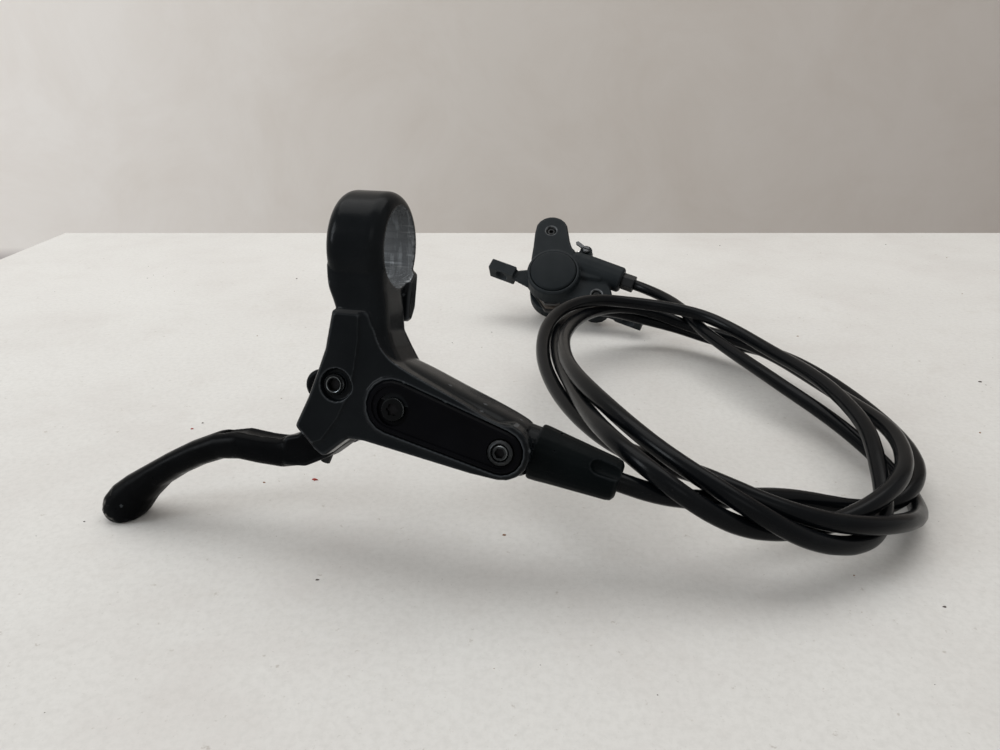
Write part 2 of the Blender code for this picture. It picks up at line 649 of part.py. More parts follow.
def make_cover():
    cover = flat("reservoir_cover", stadium(), COVER_TOP, COVER_UNDER, lever_frame, CAST_BLACK,
                 upright=True)
    soften(cover, 0.0005)
    field = flat("cover_field_cut", stadium(-0.0014), COVER_TOP - 0.002, COVER_TOP + COVER_FIELD_DEPTH,
                 lever_frame, upright=True)
    cut(cover, field)
    for i, (x, z) in enumerate(screw_places()):
        recess = (OUTER_SCREW_RECESS, INNER_SCREW_RECESS)[i] / 2
        counter = rod("counter_cut_%d" % i, (x, -0.03, z), (x, COVER_TOP + 0.0013, z), recess,
                      lever_frame)
        hole = rod("screw_pass_cut_%d" % i, (x, -0.03, z), (x, 0, z), COVER_SCREW_DIAMETER / 2 + FIT,
                   lever_frame, sides=12)
        cut(cover, counter, hole)

    flange = flat("reservoir_diaphragm", stadium(-FIT), COVER_UNDER + FIT, RESERVOIR_LEDGE - FIT,
                  lever_frame, SEAL_RUBBER, upright=True)
    start, end = cavity_ends()
    bag = flat("diaphragm_bag_form", tapered(start, 0.0038, end, 0.0032, 7), COVER_UNDER + FIT,
               RESERVOIR_LEDGE + RESERVOIR_DEPTH * 0.55, lever_frame, upright=True)
    soften(bag, 0.0008)
    hollow = flat("diaphragm_hollow_cut", tapered(start, 0.0030, end, 0.0024, 7), COVER_TOP,
                  RESERVOIR_LEDGE + RESERVOIR_DEPTH * 0.55 - 0.0008, lever_frame, upright=True)
    join(flange, bag)
    cut(flange, hollow)
    for i, (x, z) in enumerate(screw_places()):
        cut(flange, rod("diaphragm_hole_cut_%d" % i, (x, -0.03, z), (x, 0, z),
                        COVER_SCREW_DIAMETER / 2 + FIT, lever_frame, sides=12))


def star_outline(radius, depth, count=6, steps=4):
    """A six-lobed star, as in a star-socket screw."""
    found = []
    for i in range(count * steps):
        angle = 2 * math.pi * i / (count * steps)
        found.append((radius + depth * math.cos(count * angle), angle))
    return [(r * math.cos(a), r * math.sin(a)) for r, a in found]


def make_cover_screws():
    shank = COVER_SCREW_DIAMETER / 2
    tip = RESERVOIR_LEDGE + 0.0045
    under = COVER_TOP + 0.0013 - FIT
    x, z = screw_places()[0]
    profile = [
        (0.0, 0.0), (0.0028, 0.0), (0.0033, -0.0004), (0.0033, COVER_TOP - under), (shank, COVER_TOP - under),
        (shank, COVER_TOP - tip), (0.0, COVER_TOP - tip),
    ]
    outer = turned("cover_screw_outer", profile, (x, COVER_TOP, z), -Y_AXIS, lever_frame, BLACK_STEEL,
                   steps=16)
    star = flat("star_cut", star_outline(0.00155, 0.00022), -0.0007, 0.002, lever_frame)
    star.matrix_local = aim((x, COVER_TOP, z), -Y_AXIS)
    cut(outer, star)

    x, z = screw_places()[1]
    head = 0.0021
    profile = [
        (0.0, 0.0006), (head - 0.0003, 0.0006), (head, 0.0003), (head, COVER_TOP - under),
        (shank, COVER_TOP - under), (shank, COVER_TOP - tip), (0.0, COVER_TOP - tip),
    ]
    inner = turned("cover_screw_inner", profile, (x, COVER_TOP, z), -Y_AXIS, lever_frame, BLACK_STEEL,
                   steps=16)
    cut(inner, hexagon("cover_socket_cut", 0.0025, -0.0006, 0.003, (x, COVER_TOP, z), -Y_AXIS,
                       lever_frame))
    profile = [
        (0.0034, 0.0000), (0.0035, -0.0002), (0.0035, COVER_TOP - under), (head + FIT, COVER_TOP - under),
        (head + FIT, 0.0003), (head + 0.0005, 0.0005), (0.0029, 0.0004),
    ]
    turned("screw_collar", profile, (x, COVER_TOP, z), -Y_AXIS, lever_frame, BRIGHT_STEEL, steps=16,
           closed=True)


def make_pivot():
    shank = PIVOT_DIAMETER / 2
    head = PIVOT_HEAD_DIAMETER / 2
    under = FRONT_FACE - PAD_RISE + PIVOT_HEAD_HEIGHT + FIT
    top = under - PIVOT_HEAD_HEIGHT
    far = BACK_FACE - 0.0006
    profile = [
        (0.0, -top), (head - 0.0004, -top), (head, -top - 0.0004), (head, -under), (shank, -under),
        (shank, -far), (0.0, -far),
    ]
    bolt = turned("pivot_bolt", profile, PIVOT, -Y_AXIS, lever_frame, BLACK_STEEL)
    cut(bolt, hexagon("pivot_socket_cut", 0.0030, -top - 0.0012, -top + 0.001, PIVOT, -Y_AXIS,
                      lever_frame))


def blade_rows():
    """Centre line of the grip with its thickness in the lever's plane, its width and its middle."""
    grip = BLADE_GRIP_WIDTH
    middle = (FORK_SLOT_FRONT + FORK_SLOT_BACK) / 2
    return [
        (-0.0180, -0.0609, 0.0094, BLADE_ROOT_WIDTH - 0.0006, middle),
        (-0.0240, -0.0622, 0.0094, grip - 0.0016, middle), (-0.0310, -0.0621, 0.0092, grip - 0.0008, middle),
        (-0.0380, -0.0616, 0.0092, grip, middle), (-0.0450, -0.0628, 0.0086, grip, middle),
        (-0.0530, -0.0662, 0.0082, grip, middle), (-0.0610, -0.0706, 0.0080, grip, middle),
        (-0.0680, -0.0752, 0.0084, grip, middle), (-0.0738, -0.0800, 0.0106, grip, -0.0006),
        (-0.0774, -0.0840, 0.0128, grip - 0.0002, -0.0010), (-0.0797, -0.0872, 0.0126, grip - 0.0018, -0.0020),
        (-0.0810, -0.0896, 0.0092, grip - 0.0046, -0.0032), (-0.0816, -0.0908, 0.0046, grip - 0.0074, -0.0038),
    ]


def make_blade():
    """The lever blade, its root between the fork arms and its grip, drawn about the pivot."""
    hinge = frame("blade_hinge", PIVOT, parent=lever_frame)
    middle = (FORK_SLOT_FRONT + FORK_SLOT_BACK) / 2
    face_low = MASTER_WAY * 0.0005 + MASTER_UP * (MASTER_ARM - 0.0022)
    face_high = MASTER_WAY * 0.0005 + MASTER_UP * (MASTER_ARM + 0.0024)
    root_outline = [
        (face_low.x, face_low.z), (face_high.x, face_high.z), (0.0008, 0.0098), (-0.0032, 0.0082),
        *arc((-0.0082, -0.0018), 0.0046, 70, 235, 9),
        (-0.0118, -0.0092), (-0.0116, -0.0130), (-0.0145, -0.0170), (-0.0190, -0.0182),
        (-0.0192, -0.0268), (-0.0118, -0.0262), (-0.0052, -0.0229), (0.0003, -0.0183),
        (ROOT_FRONT * 0.61, -ROOT_FRONT * 1.98), (ROOT_FRONT * 0.89, -ROOT_FRONT * 1.02), (ROOT_FRONT, 0.0),
        (ROOT_FRONT * 0.77, ROOT_FRONT * 0.48),
    ]
    half = BLADE_ROOT_WIDTH / 2
    blade = flat("lever_blade", root_outline, middle - half, middle + half, hinge, CAST_BLACK,
                 upright=True)
    soften(blade, 0.0008)
    rows = blade_rows()
    rings = []
    for i, (x, z, thick, width, deep) in enumerate(rows):
        before = rows[max(i - 1, 0)]
        after = rows[min(i + 1, len(rows) - 1)]
        way = Vector((after[0] - before[0], 0.0, after[1] - before[1])).normalized()
        up = Vector((way.z, 0.0, -way.x))
        centre = Vector((x, deep, z)) - PIVOT
        rings.append(oval(centre, (0, 1, 0), up, width / 2, thick / 2, 2.7, 18))
    grip = loft("grip_form", rings, hinge)
    join(blade, grip)
    eye = rod("eye_cut", (0, -0.03, 0), (0, 0.03, 0), PIVOT_DIAMETER / 2 + 2 * FIT + BUSH_WALL, hinge)
    hollow_rings = []
    for x, z, thick, width, deep in blade_rows()[1:5]:
        centre = Vector((x, deep, z + thick * 0.56)) - PIVOT
        hollow_rings.append(oval(centre, (0, 1, 0), (0, 0, 1), width * 0.30, thick * 0.22, 2.4, 10))
    hollow = loft("grip_hollow_cut", hollow_rings, hinge)
    start, way = reach_axis()
    screw_hole = rod("reach_cut", start - way * 0.002, start + way * 0.012, REACH_SCREW_DIAMETER / 2 + FIT,
                     hinge, sides=12)
    floor = block("floor_cut", (-0.2, -0.2, -0.05), (0.2, 0.2, 0.0), None)
    cut(blade, eye, hollow, screw_hole, floor)
    ring("pivot_bush", PIVOT_DIAMETER / 2 + FIT, PIVOT_DIAMETER / 2 + FIT + BUSH_WALL,
         middle - half, middle + half, (0, 0, 0), Y_AXIS, hinge, BRASS)
    screw = rod("reach_screw", start + way * 0.0008, start + way * 0.0090, REACH_SCREW_DIAMETER / 2,
                hinge, BLACK_STEEL, sides=12)
    cut(screw, hexagon("reach_socket_cut", 0.0015, -0.002, 0.0022, start + way * 0.0008, way, hinge))


def reach_axis():
    """The reach screw's head, seen from the pivot, and the way it is driven."""
    middle = (FORK_SLOT_FRONT + FORK_SLOT_BACK) / 2
    start = Vector((-0.0080, middle, -0.0258))
    return start, Vector((0.35, 0.0, 0.94)).normalized()


def make_master():
    """Pushrod, piston, seals, spring and retaining ring on the master cylinder's axis."""
    bore = MASTER_BORE / 2
    rod_radius = PUSHROD_DIAMETER / 2
    nose = 0.0005 + FIT
    ball = [(rod_radius * math.sin(a), nose + rod_radius * (1 - math.cos(a)))
            for a in [math.pi / 2 * i / 4 for i in range(4, -1, -1)]]
    profile = [(0.0, PISTON_PLACE - FIT), (rod_radius, PISTON_PLACE - FIT)] + ball
    turned("pushrod", profile, MASTER_ORIGIN, MASTER_WAY, lever_frame, BRIGHT_STEEL, steps=12)
    body = bore - FIT
    neck = bore - 0.0017
    first = PISTON_PLACE + 0.0016
    second = PISTON_PLACE + PISTON_LENGTH - 0.0032
    seal = 0.0018
    end = PISTON_PLACE + PISTON_LENGTH
    profile = [
        (0.0, end), (body - 0.0003, end), (body, end - 0.0003), (body, second + seal + FIT),
        (neck, second + seal + FIT), (neck, second - FIT), (body, second - FIT),
        (body, first + seal + FIT), (neck, first + seal + FIT), (neck, first - FIT), (body, first - FIT),
        (body, PISTON_PLACE), (0.0, PISTON_PLACE),
    ]
    turned("master_piston", profile, MASTER_ORIGIN, MASTER_WAY, lever_frame, ALUMINIUM, steps=16)
    for name, place in (("secondary_seal", first), ("primary_seal", second)):
        ring(name, neck + FIT, bore - FIT, place, place + seal, MASTER_ORIGIN, MASTER_WAY, lever_frame,
             SEAL_RUBBER, steps=16)
    ring("piston_retaining_ring", rod_radius + FIT, bore - FIT, PISTON_PLACE - 0.0014,
         PISTON_PLACE - 0.0014 + 0.0008, MASTER_ORIGIN, MASTER_WAY, lever_frame, BRIGHT_STEEL, steps=16)
    low = end + FIT
    high = MASTER_START + MASTER_LENGTH - FIT
    make_spring(low + SPRING_WIRE / 2, high - SPRING_WIRE / 2, bore - 0.0011)


def make_spring(low, high, radius):
    """The return spring, a helix with closed ends."""
    steps = 9
    count = SPRING_TURNS * steps
    points = []
    for i in range(count + 1):
        angle = 2 * math.pi * i / steps
        points.append((radius * math.cos(angle), radius * math.sin(angle), low + (high - low) * i / count))
    tube("return_spring", points, SPRING_WIRE, BRIGHT_STEEL, lever_frame, aim(MASTER_ORIGIN, MASTER_WAY),
         sides=0)


def make_nut(name, olive, start, way, parent, seat, head):
    """A hose nut with its olive: the nut's head stands on the seat, its shank goes into the port."""
    shank = PORT_BORE / 2 - FIT
    nut = hexagon(name, NUT_ACROSS, seat + FIT, seat + FIT + head, start, way, parent, BLACK_STEEL)
    soften(nut, 0.0004)
    stem = rod(name + "_stem_form", start + way * (seat - 0.0058), start + way * (seat + 0.001), shank,
               parent)
    hole = rod(name + "_hole_cut", start + way * (seat - 0.02), start + way * (seat + 0.02), HOSE_HOLE,
               parent, sides=16)
    join(nut, stem)
    cut(nut, hole)
    ring(olive, HOSE_HOLE, shank, seat - 0.0058 - FIT - 0.0028, seat - 0.0058 - FIT, start, way, parent,
         BRASS, steps=16)


def make_boot():
    """The rubber boot: open at both ends, with two finger grooves at its small end."""
    big = BOOT_BIG_DIAMETER / 2
    small = BOOT_SMALL_DIAMETER / 2
    length = BOOT_LENGTH
    pocket = PORT_NECK_LENGTH + FIT + NUT_HEAD + 2 * FIT
    nut_room = NUT_ACROSS / math.sqrt(3.0) + FIT
    profile = [
        (small - 0.0016, length), (small - 0.0004, length - 0.0008), (small, length - 0.0022),
        (small + 0.0004, length * 0.72), (big - 0.0006, length * 0.30), (big - 0.0001, length * 0.10),
        (big, 0.0004), (big - 0.0004, 0.0), (PORT_NECK_DIAMETER / 2 + FIT, 0.0),
        (PORT_NECK_DIAMETER / 2 + FIT, PORT_NECK_LENGTH + FIT), (nut_room, PORT_NECK_LENGTH + FIT),
        (nut_room, pocket), (HOSE_HOLE, pocket + 0.0016), (HOSE_HOLE, length),
    ]
    boot = turned("hose_boot", profile, PORT, PORT_WAY, lever_frame, RUBBER, steps=24, closed=True)
    side = Vector((PORT_WAY.z, 0.0, -PORT_WAY.x))
    grooves = []
    for i, lift in enumerate((148.0, -32.0)):
        angle = math.radians(lift)
        out = Y_AXIS * math.cos(angle) - side * math.sin(angle)
        reach = small + BOOT_GROOVE_DIAMETER * 0.16
        profile = capsule(BOOT_GROOVE_DIAMETER / 2, length - BOOT_GROOVE_LENGTH, length + 0.006)
        grooves.append(turned("boot_groove_cut_%d" % i, profile, PORT + out * reach, PORT_WAY,
                              lever_frame, steps=12))
    cut(boot, *grooves)


def capsule(radius, low, high):
    """A rod's profile with round ends."""
    top = [(radius * math.cos(a), high - radius + radius * math.sin(a))
           for a in [math.pi / 2 * i / 3 for i in range(3, -1, -1)]]
    foot = [(radius * math.cos(a), low + radius - radius * math.sin(a))
            for a in [math.pi / 2 * i / 3 for i in range(4)]]
    top[0] = (0.0, high)
    foot[-1] = (0.0, low)
    return top + foot


BOSS_RADIUS = BOSS_DIAMETER / 2
CAP_DIAMETER = BOSS_DIAMETER - 2 * CAP_RIM
PISTON_DIAMETER = BOSS_DIAMETER - 2 * BORE_WALL
PAD_WIDTH = BOSS_DIAMETER - 2 * PAD_SIDE
PIN_OFFSET = PIN_INSET - PAD_WIDTH / 2
PAD_TOP = BOSS_RADIUS + PAD_OVER
PAD_BOTTOM = -BOSS_RADIUS + PAD_UNDER
PIN_HEIGHT = BOSS_RADIUS + PIN_REACH
ARM_Y = BOSS_RADIUS - ARM_DROP
BOLT_HEIGHT = BOSS_RADIUS - BOLT_DROP


def in_caliper(t, r):
    """A point of the pad frame in the caliper's frame."""
    c, s = math.cos(PAD_TURN), math.sin(PAD_TURN)
    return (t * c - r * s, t * s + r * c)


TONGUE = in_caliper(-BOSS_RADIUS - TONGUE_BOLT_REACH, BOLT_HEIGHT)
LUG = in_caliper(BOSS_RADIUS + LUG_BOLT_REACH, BOLT_HEIGHT)
PIN = in_caliper(PIN_OFFSET, PIN_HEIGHT)
OUTER_JOINT = MID_PLANE + FIT / 2
INNER_JOINT = MID_PLANE - FIT / 2
LINING_FACE = DISC_GAP / 2
PLATE_FACE = LINING_FACE + LINING_THICKNESS + FIT
PISTON_FACE = PLATE_FACE + PLATE_THICKNESS + FIT
POCKET_DEPTH = PISTON_FACE - FIT / 2
CAP_SEAT = -CAP_THICKNESS - FIT
SEAL_SEAT = CAP_SEAT - 0.0012
BACK = -CALIPER_DEPTH
BORE = PISTON_DIAMETER / 2 + FIT
CROSSING = in_caliper(BOSS_RADIUS + 0.0006, BOSS_RADIUS + 0.0040)


def by_pin(x, y):
    """A point beside the pad pin."""
    return PIN[0] + x, PIN[1] + y


def tongue_arc():
    """The tongue's round end, a little past its bolt."""
    return arc((TONGUE[0] - 0.0001, TONGUE[1] + 0.0008), TONGUE_RADIUS, 178, 22, 9)


def tongue_outline():
    """The tongue from the boss to its round end."""
    return [
        (-0.0130, -0.0010), (-0.0151, 0.0047), (-0.0173, 0.0120), (-0.0201, 0.0200), *tongue_arc(),
        by_pin(-0.0094, -0.0003), by_pin(-0.0068, -0.0034), by_pin(-0.0046, -0.0046), (0.0076, 0.0120),
    ]


def saddle_outline():
    """The plate between the boss, the arm and the pin."""
    return [
        (-0.0060, 0.0060), by_pin(-0.0154, -0.0024), by_pin(-0.0068, -0.0032), by_pin(-0.0046, -0.0042),
        by_pin(0.0046, -0.0046),
        (0.0260, 0.0130), (0.0246, 0.0062), (0.0100, 0.0030),
    ]


def lug_outline():
    """The lug from the boss to its round end."""
    return [
        (0.0080, 0.0120), (0.0240, 0.0140), *arc(LUG, LUG_RADIUS, 45, -125, 9), (0.0100, -0.0096),
    ]


def web_outline():
    """The inner half's plate, from the tongue over the saddle to the lug."""
    return [
        (-0.0136, -0.0010), (-0.0151, 0.0047), (-0.0173, 0.0120), (-0.0201, 0.0200), *tongue_arc(),
        by_pin(-0.0094, -0.0003), by_pin(-0.0068, -0.0032), by_pin(-0.0046, -0.0042),
        by_pin(0.0046, -0.0046), (LUG[0] + 0.0004, LUG[1] + 0.0146),
        *arc(LUG, LUG_RADIUS, 40, -125, 9), (0.0100, -0.0096),
    ]


def bore_cutter(name, mouth, far, side):
    """The piston bore with its seal groove: side is 1 on the cap's side and -1 on the other."""
    groove = PISTON_SEAL + 2 * FIT
    start = abs(mouth - MID_PLANE)
    middle = start + 0.0026
    length = abs(far - MID_PLANE)
    deep = BORE + 0.0012
    profile = [
        (0.0, length), (BORE, length), (BORE, middle + groove), (deep, middle + groove), (deep, middle),
        (BORE, middle), (BORE, start - 0.002), (0.0, start - 0.002),
    ]
    return turned(name, profile, (0, 0, MID_PLANE), (0, 0, side), caliper_frame, steps=28)


def pad_window(name, low, high):
    """The room for the pads: their pocket, open towards the hub, and their tab's slot."""
    wide = PAD_WIDTH / 2 + FIT
    pocket = block(name, (-wide, PAD_BOTTOM - 0.02, low), (wide, PAD_TOP + FIT, high), pad_frame)
    tab = block(name + "_tab", (PIN_OFFSET - 0.0046, 0.0, low), (PIN_OFFSET + 0.0046, 0.04, high),
                pad_frame)
    return pocket, tab


def disc_room(name, low, high):
    """The room that the brake disc turns in."""
    middle = DISC_REACH - DISC_DIAMETER / 2
    return rod(name, (0, middle, low), (0, middle, high), DISC_DIAMETER / 2 + 0.001, pad_frame,
               sides=120)


def ear_forms():
    """The two post-mount ears with their necks."""
    half = EAR_LENGTH / 2
    low = EAR_DEPTH_PLACE - EAR_DEPTH / 2
    high = EAR_DEPTH_PLACE + EAR_DEPTH / 2
    back = EAR_FACE + EAR_THICKNESS
    forms = []
    for name, place in (("left", EAR_MIDDLE_X - EAR_SPACING / 2), ("right", EAR_MIDDLE_X + EAR_SPACING / 2)):
        ear = block("ear_%s_form" % name, (place - half, EAR_FACE, low), (place + half, back, high),
                    caliper_frame)
        soften(ear, 0.0012)
        forms.append(ear)
    left = EAR_MIDDLE_X - EAR_SPACING / 2 + half
    right = EAR_MIDDLE_X + EAR_SPACING / 2 - half
    left_neck = flat("left_neck_form", [(left - 0.002, EAR_FACE + 0.0002), (left - 0.002, back - 0.0014),
                                        (-0.0100, 0.0036), (-0.0060, -0.0104)],
                     low + 0.0004, high - 0.0024, caliper_frame)
    right_neck = flat("right_neck_form", [(right + 0.002, EAR_FACE + 0.0002), (0.0180, -0.0090),
                                          (0.0240, 0.0030), (right + 0.002, back - 0.0002)],
                      low + 0.0002, high - 0.0012, caliper_frame)
    for neck in (left_neck, right_neck):
        soften(neck, 0.0008)
    return forms + [left_neck, right_neck]


def ear_slots():
    """The slotted holes through both ears."""
    found = []
    radius = EAR_SLOT_DIAMETER / 2
    shift = EAR_SLOT_TRAVEL / 2
    for name, place in (("left", EAR_MIDDLE_X - EAR_SPACING / 2), ("right", EAR_MIDDLE_X + EAR_SPACING / 2)):
        outline = arc((place, EAR_DEPTH_PLACE + shift), radius, 0, 180, 7)
        outline += arc((place, EAR_DEPTH_PLACE - shift), radius, 180, 360, 7)
        slot = flat("ear_slot_cut_%s" % name, outline, EAR_FACE - 0.01, EAR_FACE + EAR_THICKNESS + 0.01,
                    caliper_frame, upright=True)
        found.append(slot)
    return found


ARM_ROWS = [
    (0.0060, ARM_WIDTH - 0.0010, ARM_THICKNESS, 0.0), (0.0160, ARM_WIDTH, ARM_THICKNESS, 0.0),
    (ARM_LENGTH - 0.0010, ARM_WIDTH - 0.0006, ARM_THICKNESS - 0.0004, 0.0),
    (ARM_LENGTH, ARM_WIDTH - 0.0024, ARM_THICKNESS - 0.0022, 0.0),
]


def make_outer_half():
    boss = rounded_profile(BOSS_DIAMETER / 2, OUTER_JOINT, BOSS_FACE, 0.0016, 3)
    boss = boss[:4] + [(BOSS_DIAMETER / 2, OUTER_JOINT), (0.0, OUTER_JOINT)]
    half = turned("caliper_outer_half", boss, (0, 0, 0), (0, 0, 1), caliper_frame, CALIPER_BLACK,
                  steps=32)
    tongue = flat("tongue_form", tongue_outline(), OUTER_JOINT, TONGUE_FACE, caliper_frame)
    saddle = flat("saddle_form", saddle_outline(), OUTER_JOINT, WEB_FACE, caliper_frame)
    lug = flat("lug_form", lug_outline(), OUTER_JOINT, LUG_FACE, caliper_frame)
    for web in (tongue, saddle, lug):
        soften(web, 0.0010)
    arm_rings = []
    for x, width, thick, rise in ARM_ROWS:
        centre = (x, ARM_Y + rise, ARM_Z)
        arm_rings.append(oval(centre, (0, 1, 0), (0, 0, 1), width / 2, thick / 2, 2.8, OVAL_POINTS))
    arm = loft("hose_arm_form", arm_rings, caliper_frame)
    wedge = flat("arm_wedge_form", [(0.0080, 0.0060), (0.0080, 0.0180), (0.0240, 0.0180), (0.0300, 0.0120),
                                    (0.0298, 0.0036), (0.0186, -0.0036)],
                 OUTER_JOINT, ARM_Z - 0.0008, caliper_frame)
    soften(wedge, 0.0008)
    pin_boss = rod("outer_pin_boss_form", (*PIN, OUTER_JOINT + 0.0024), (*PIN, -0.0072), PIN_BOSS_RADIUS,
                   caliper_frame, sides=24)
    pin_web = flat("outer_pin_web_form", [by_pin(-0.0036, -0.0074), by_pin(0.0050, -0.0074),
                                          (PIN[0] + 0.0030, PIN[1] + 0.0006),
                                          (PIN[0] - 0.0030, PIN[1] + 0.0006)],
                   OUTER_JOINT + 0.0024, -0.0084, caliper_frame)
    join(half, tongue, saddle, lug, arm, wedge, pin_boss, pin_web, *ear_forms())

    pocket, tab = pad_window("outer_window_cut", OUTER_JOINT - 0.004, MID_PLANE + POCKET_DEPTH)
    disc = disc_room("outer_disc_cut", OUTER_JOINT - 0.002, MID_PLANE + DISC_GAP / 2 + 0.0006)
    bore = bore_cutter("outer_bore_cut", MID_PLANE + POCKET_DEPTH, SEAL_SEAT + 0.001, 1)
    seal_seat = rod("cap_seal_seat_cut", (0, 0, SEAL_SEAT), (0, 0, 0.01), CAP_DIAMETER / 2 + FIT,
                    caliper_frame, sides=32)
    port = rod("arm_port_cut", (ARM_LENGTH - PORT_DEPTH, ARM_Y, ARM_Z), (ARM_LENGTH + 0.01, ARM_Y, ARM_Z),
               PORT_BORE / 2, caliper_frame)
    oil_way = rod("arm_oil_cut", (ARM_LENGTH - PORT_DEPTH + 0.001, ARM_Y, ARM_Z), (0.0070, 0.0060, -0.0062),
                  0.0010, caliper_frame, sides=12)
    crossing = rod("outer_crossing_cut", (*CROSSING, OUTER_JOINT - 0.001), (*CROSSING, ARM_Z - 0.001), 0.0009,
                   caliper_frame, sides=12)
    counter = rod("outer_crossing_seat_cut", (*CROSSING, OUTER_JOINT - 0.001), (*CROSSING, OUTER_JOINT + 0.0007),
                  0.0026, caliper_frame, sides=24)
    pin_hole = rod("outer_pin_cut", (*PIN, -0.03), (*PIN, 0.01), PIN_DIAMETER / 2 + FIT, caliper_frame,
                   sides=16)
    bolt_holes = [
        rod("outer_bolt_cut_%d" % i, (*place, -0.03), (*place, 0.01), BODY_BOLT_DIAMETER / 2 + FIT,
            caliper_frame, sides=16)
        for i, place in enumerate((TONGUE, LUG))
    ]
    cut(half, pocket, tab, disc, bore, seal_seat, port, oil_way, crossing, counter, pin_hole, *bolt_holes,
        *ear_slots())


def make_inner_half():
    radius = BOSS_DIAMETER / 2 - 0.0006
    profile = [
        (0.0, INNER_JOINT), (radius, INNER_JOINT), (radius, BACK + INNER_ROUND * 1.08),
        (radius - INNER_ROUND * 0.21, BACK + INNER_ROUND * 0.63),
        (radius - INNER_ROUND * 0.63, BACK + INNER_ROUND * 0.17), (radius - INNER_ROUND, BACK), (0.0, BACK),
    ]
    half = turned("caliper_inner_half", profile, (0, 0, 0), (0, 0, 1), caliper_frame, CALIPER_BLACK,
                  steps=32)
    web = flat("inner_web_form", web_outline(), INNER_WEB_FACE, INNER_JOINT, caliper_frame)
    soften(web, 0.0010)
    pin_boss = rod("inner_pin_boss_form", (*PIN, INNER_JOINT - 0.0024), (*PIN, INNER_WEB_FACE + 0.0010),
                   PIN_BOSS_RADIUS, caliper_frame, sides=24)
    pin_web = flat("inner_pin_web_form", [by_pin(-0.0036, -0.0074), by_pin(0.0050, -0.0074),
                                          (PIN[0] + 0.0030, PIN[1] + 0.0006),
                                          (PIN[0] - 0.0030, PIN[1] + 0.0006)],
                   INNER_WEB_FACE + 0.0020, INNER_JOINT - 0.0024, caliper_frame)
    start, way = bleed_axis()
    nipple_boss = rod("nipple_boss_form", start - way * 0.006, start, 0.0036, caliper_frame)
    join(half, web, pin_boss, pin_web, nipple_boss)
    pocket, tab = pad_window("inner_window_cut", MID_PLANE - POCKET_DEPTH, INNER_JOINT + 0.004)
    disc = disc_room("inner_disc_cut", MID_PLANE - DISC_GAP / 2 - 0.0006, INNER_JOINT + 0.002)
    bore = bore_cutter("inner_bore_cut", MID_PLANE - POCKET_DEPTH, MID_PLANE - 0.0133, -1)
    crossing = rod("inner_crossing_cut", (*CROSSING, INNER_JOINT + 0.001), (*CROSSING, INNER_JOINT - 0.0070),
                   0.0009, caliper_frame, sides=12)
    counter = rod("inner_crossing_seat_cut", (*CROSSING, INNER_JOINT + 0.001), (*CROSSING, INNER_JOINT - 0.0007),
                  0.0026, caliper_frame, sides=24)
    pin_hole = rod("inner_pin_cut", (*PIN, -0.04), (*PIN, 0.0), PIN_DIAMETER / 2 + FIT, caliper_frame,
                   sides=16)
    bolt_holes = [
        rod("inner_bolt_cut_%d" % i, (*place, -0.04), (*place, 0.0), BODY_BOLT_DIAMETER / 2 + FIT,
            caliper_frame, sides=16)
        for i, place in enumerate((TONGUE, LUG))
    ]
    nipple_hole = rod("nipple_cut", start - way * 0.006, start + way * 0.01, 0.0017 + FIT, caliper_frame,
                      sides=12)
    cut(half, pocket, tab, disc, bore, crossing, counter, pin_hole, *bolt_holes, nipple_hole)


def bleed_axis():
    """Where the bleed nipple leaves the inner half, and its way out."""
    return Vector((0.0022, BOSS_RADIUS + NIPPLE_RISE, -0.0233)), Vector((0.0, 1.0, 0.0))


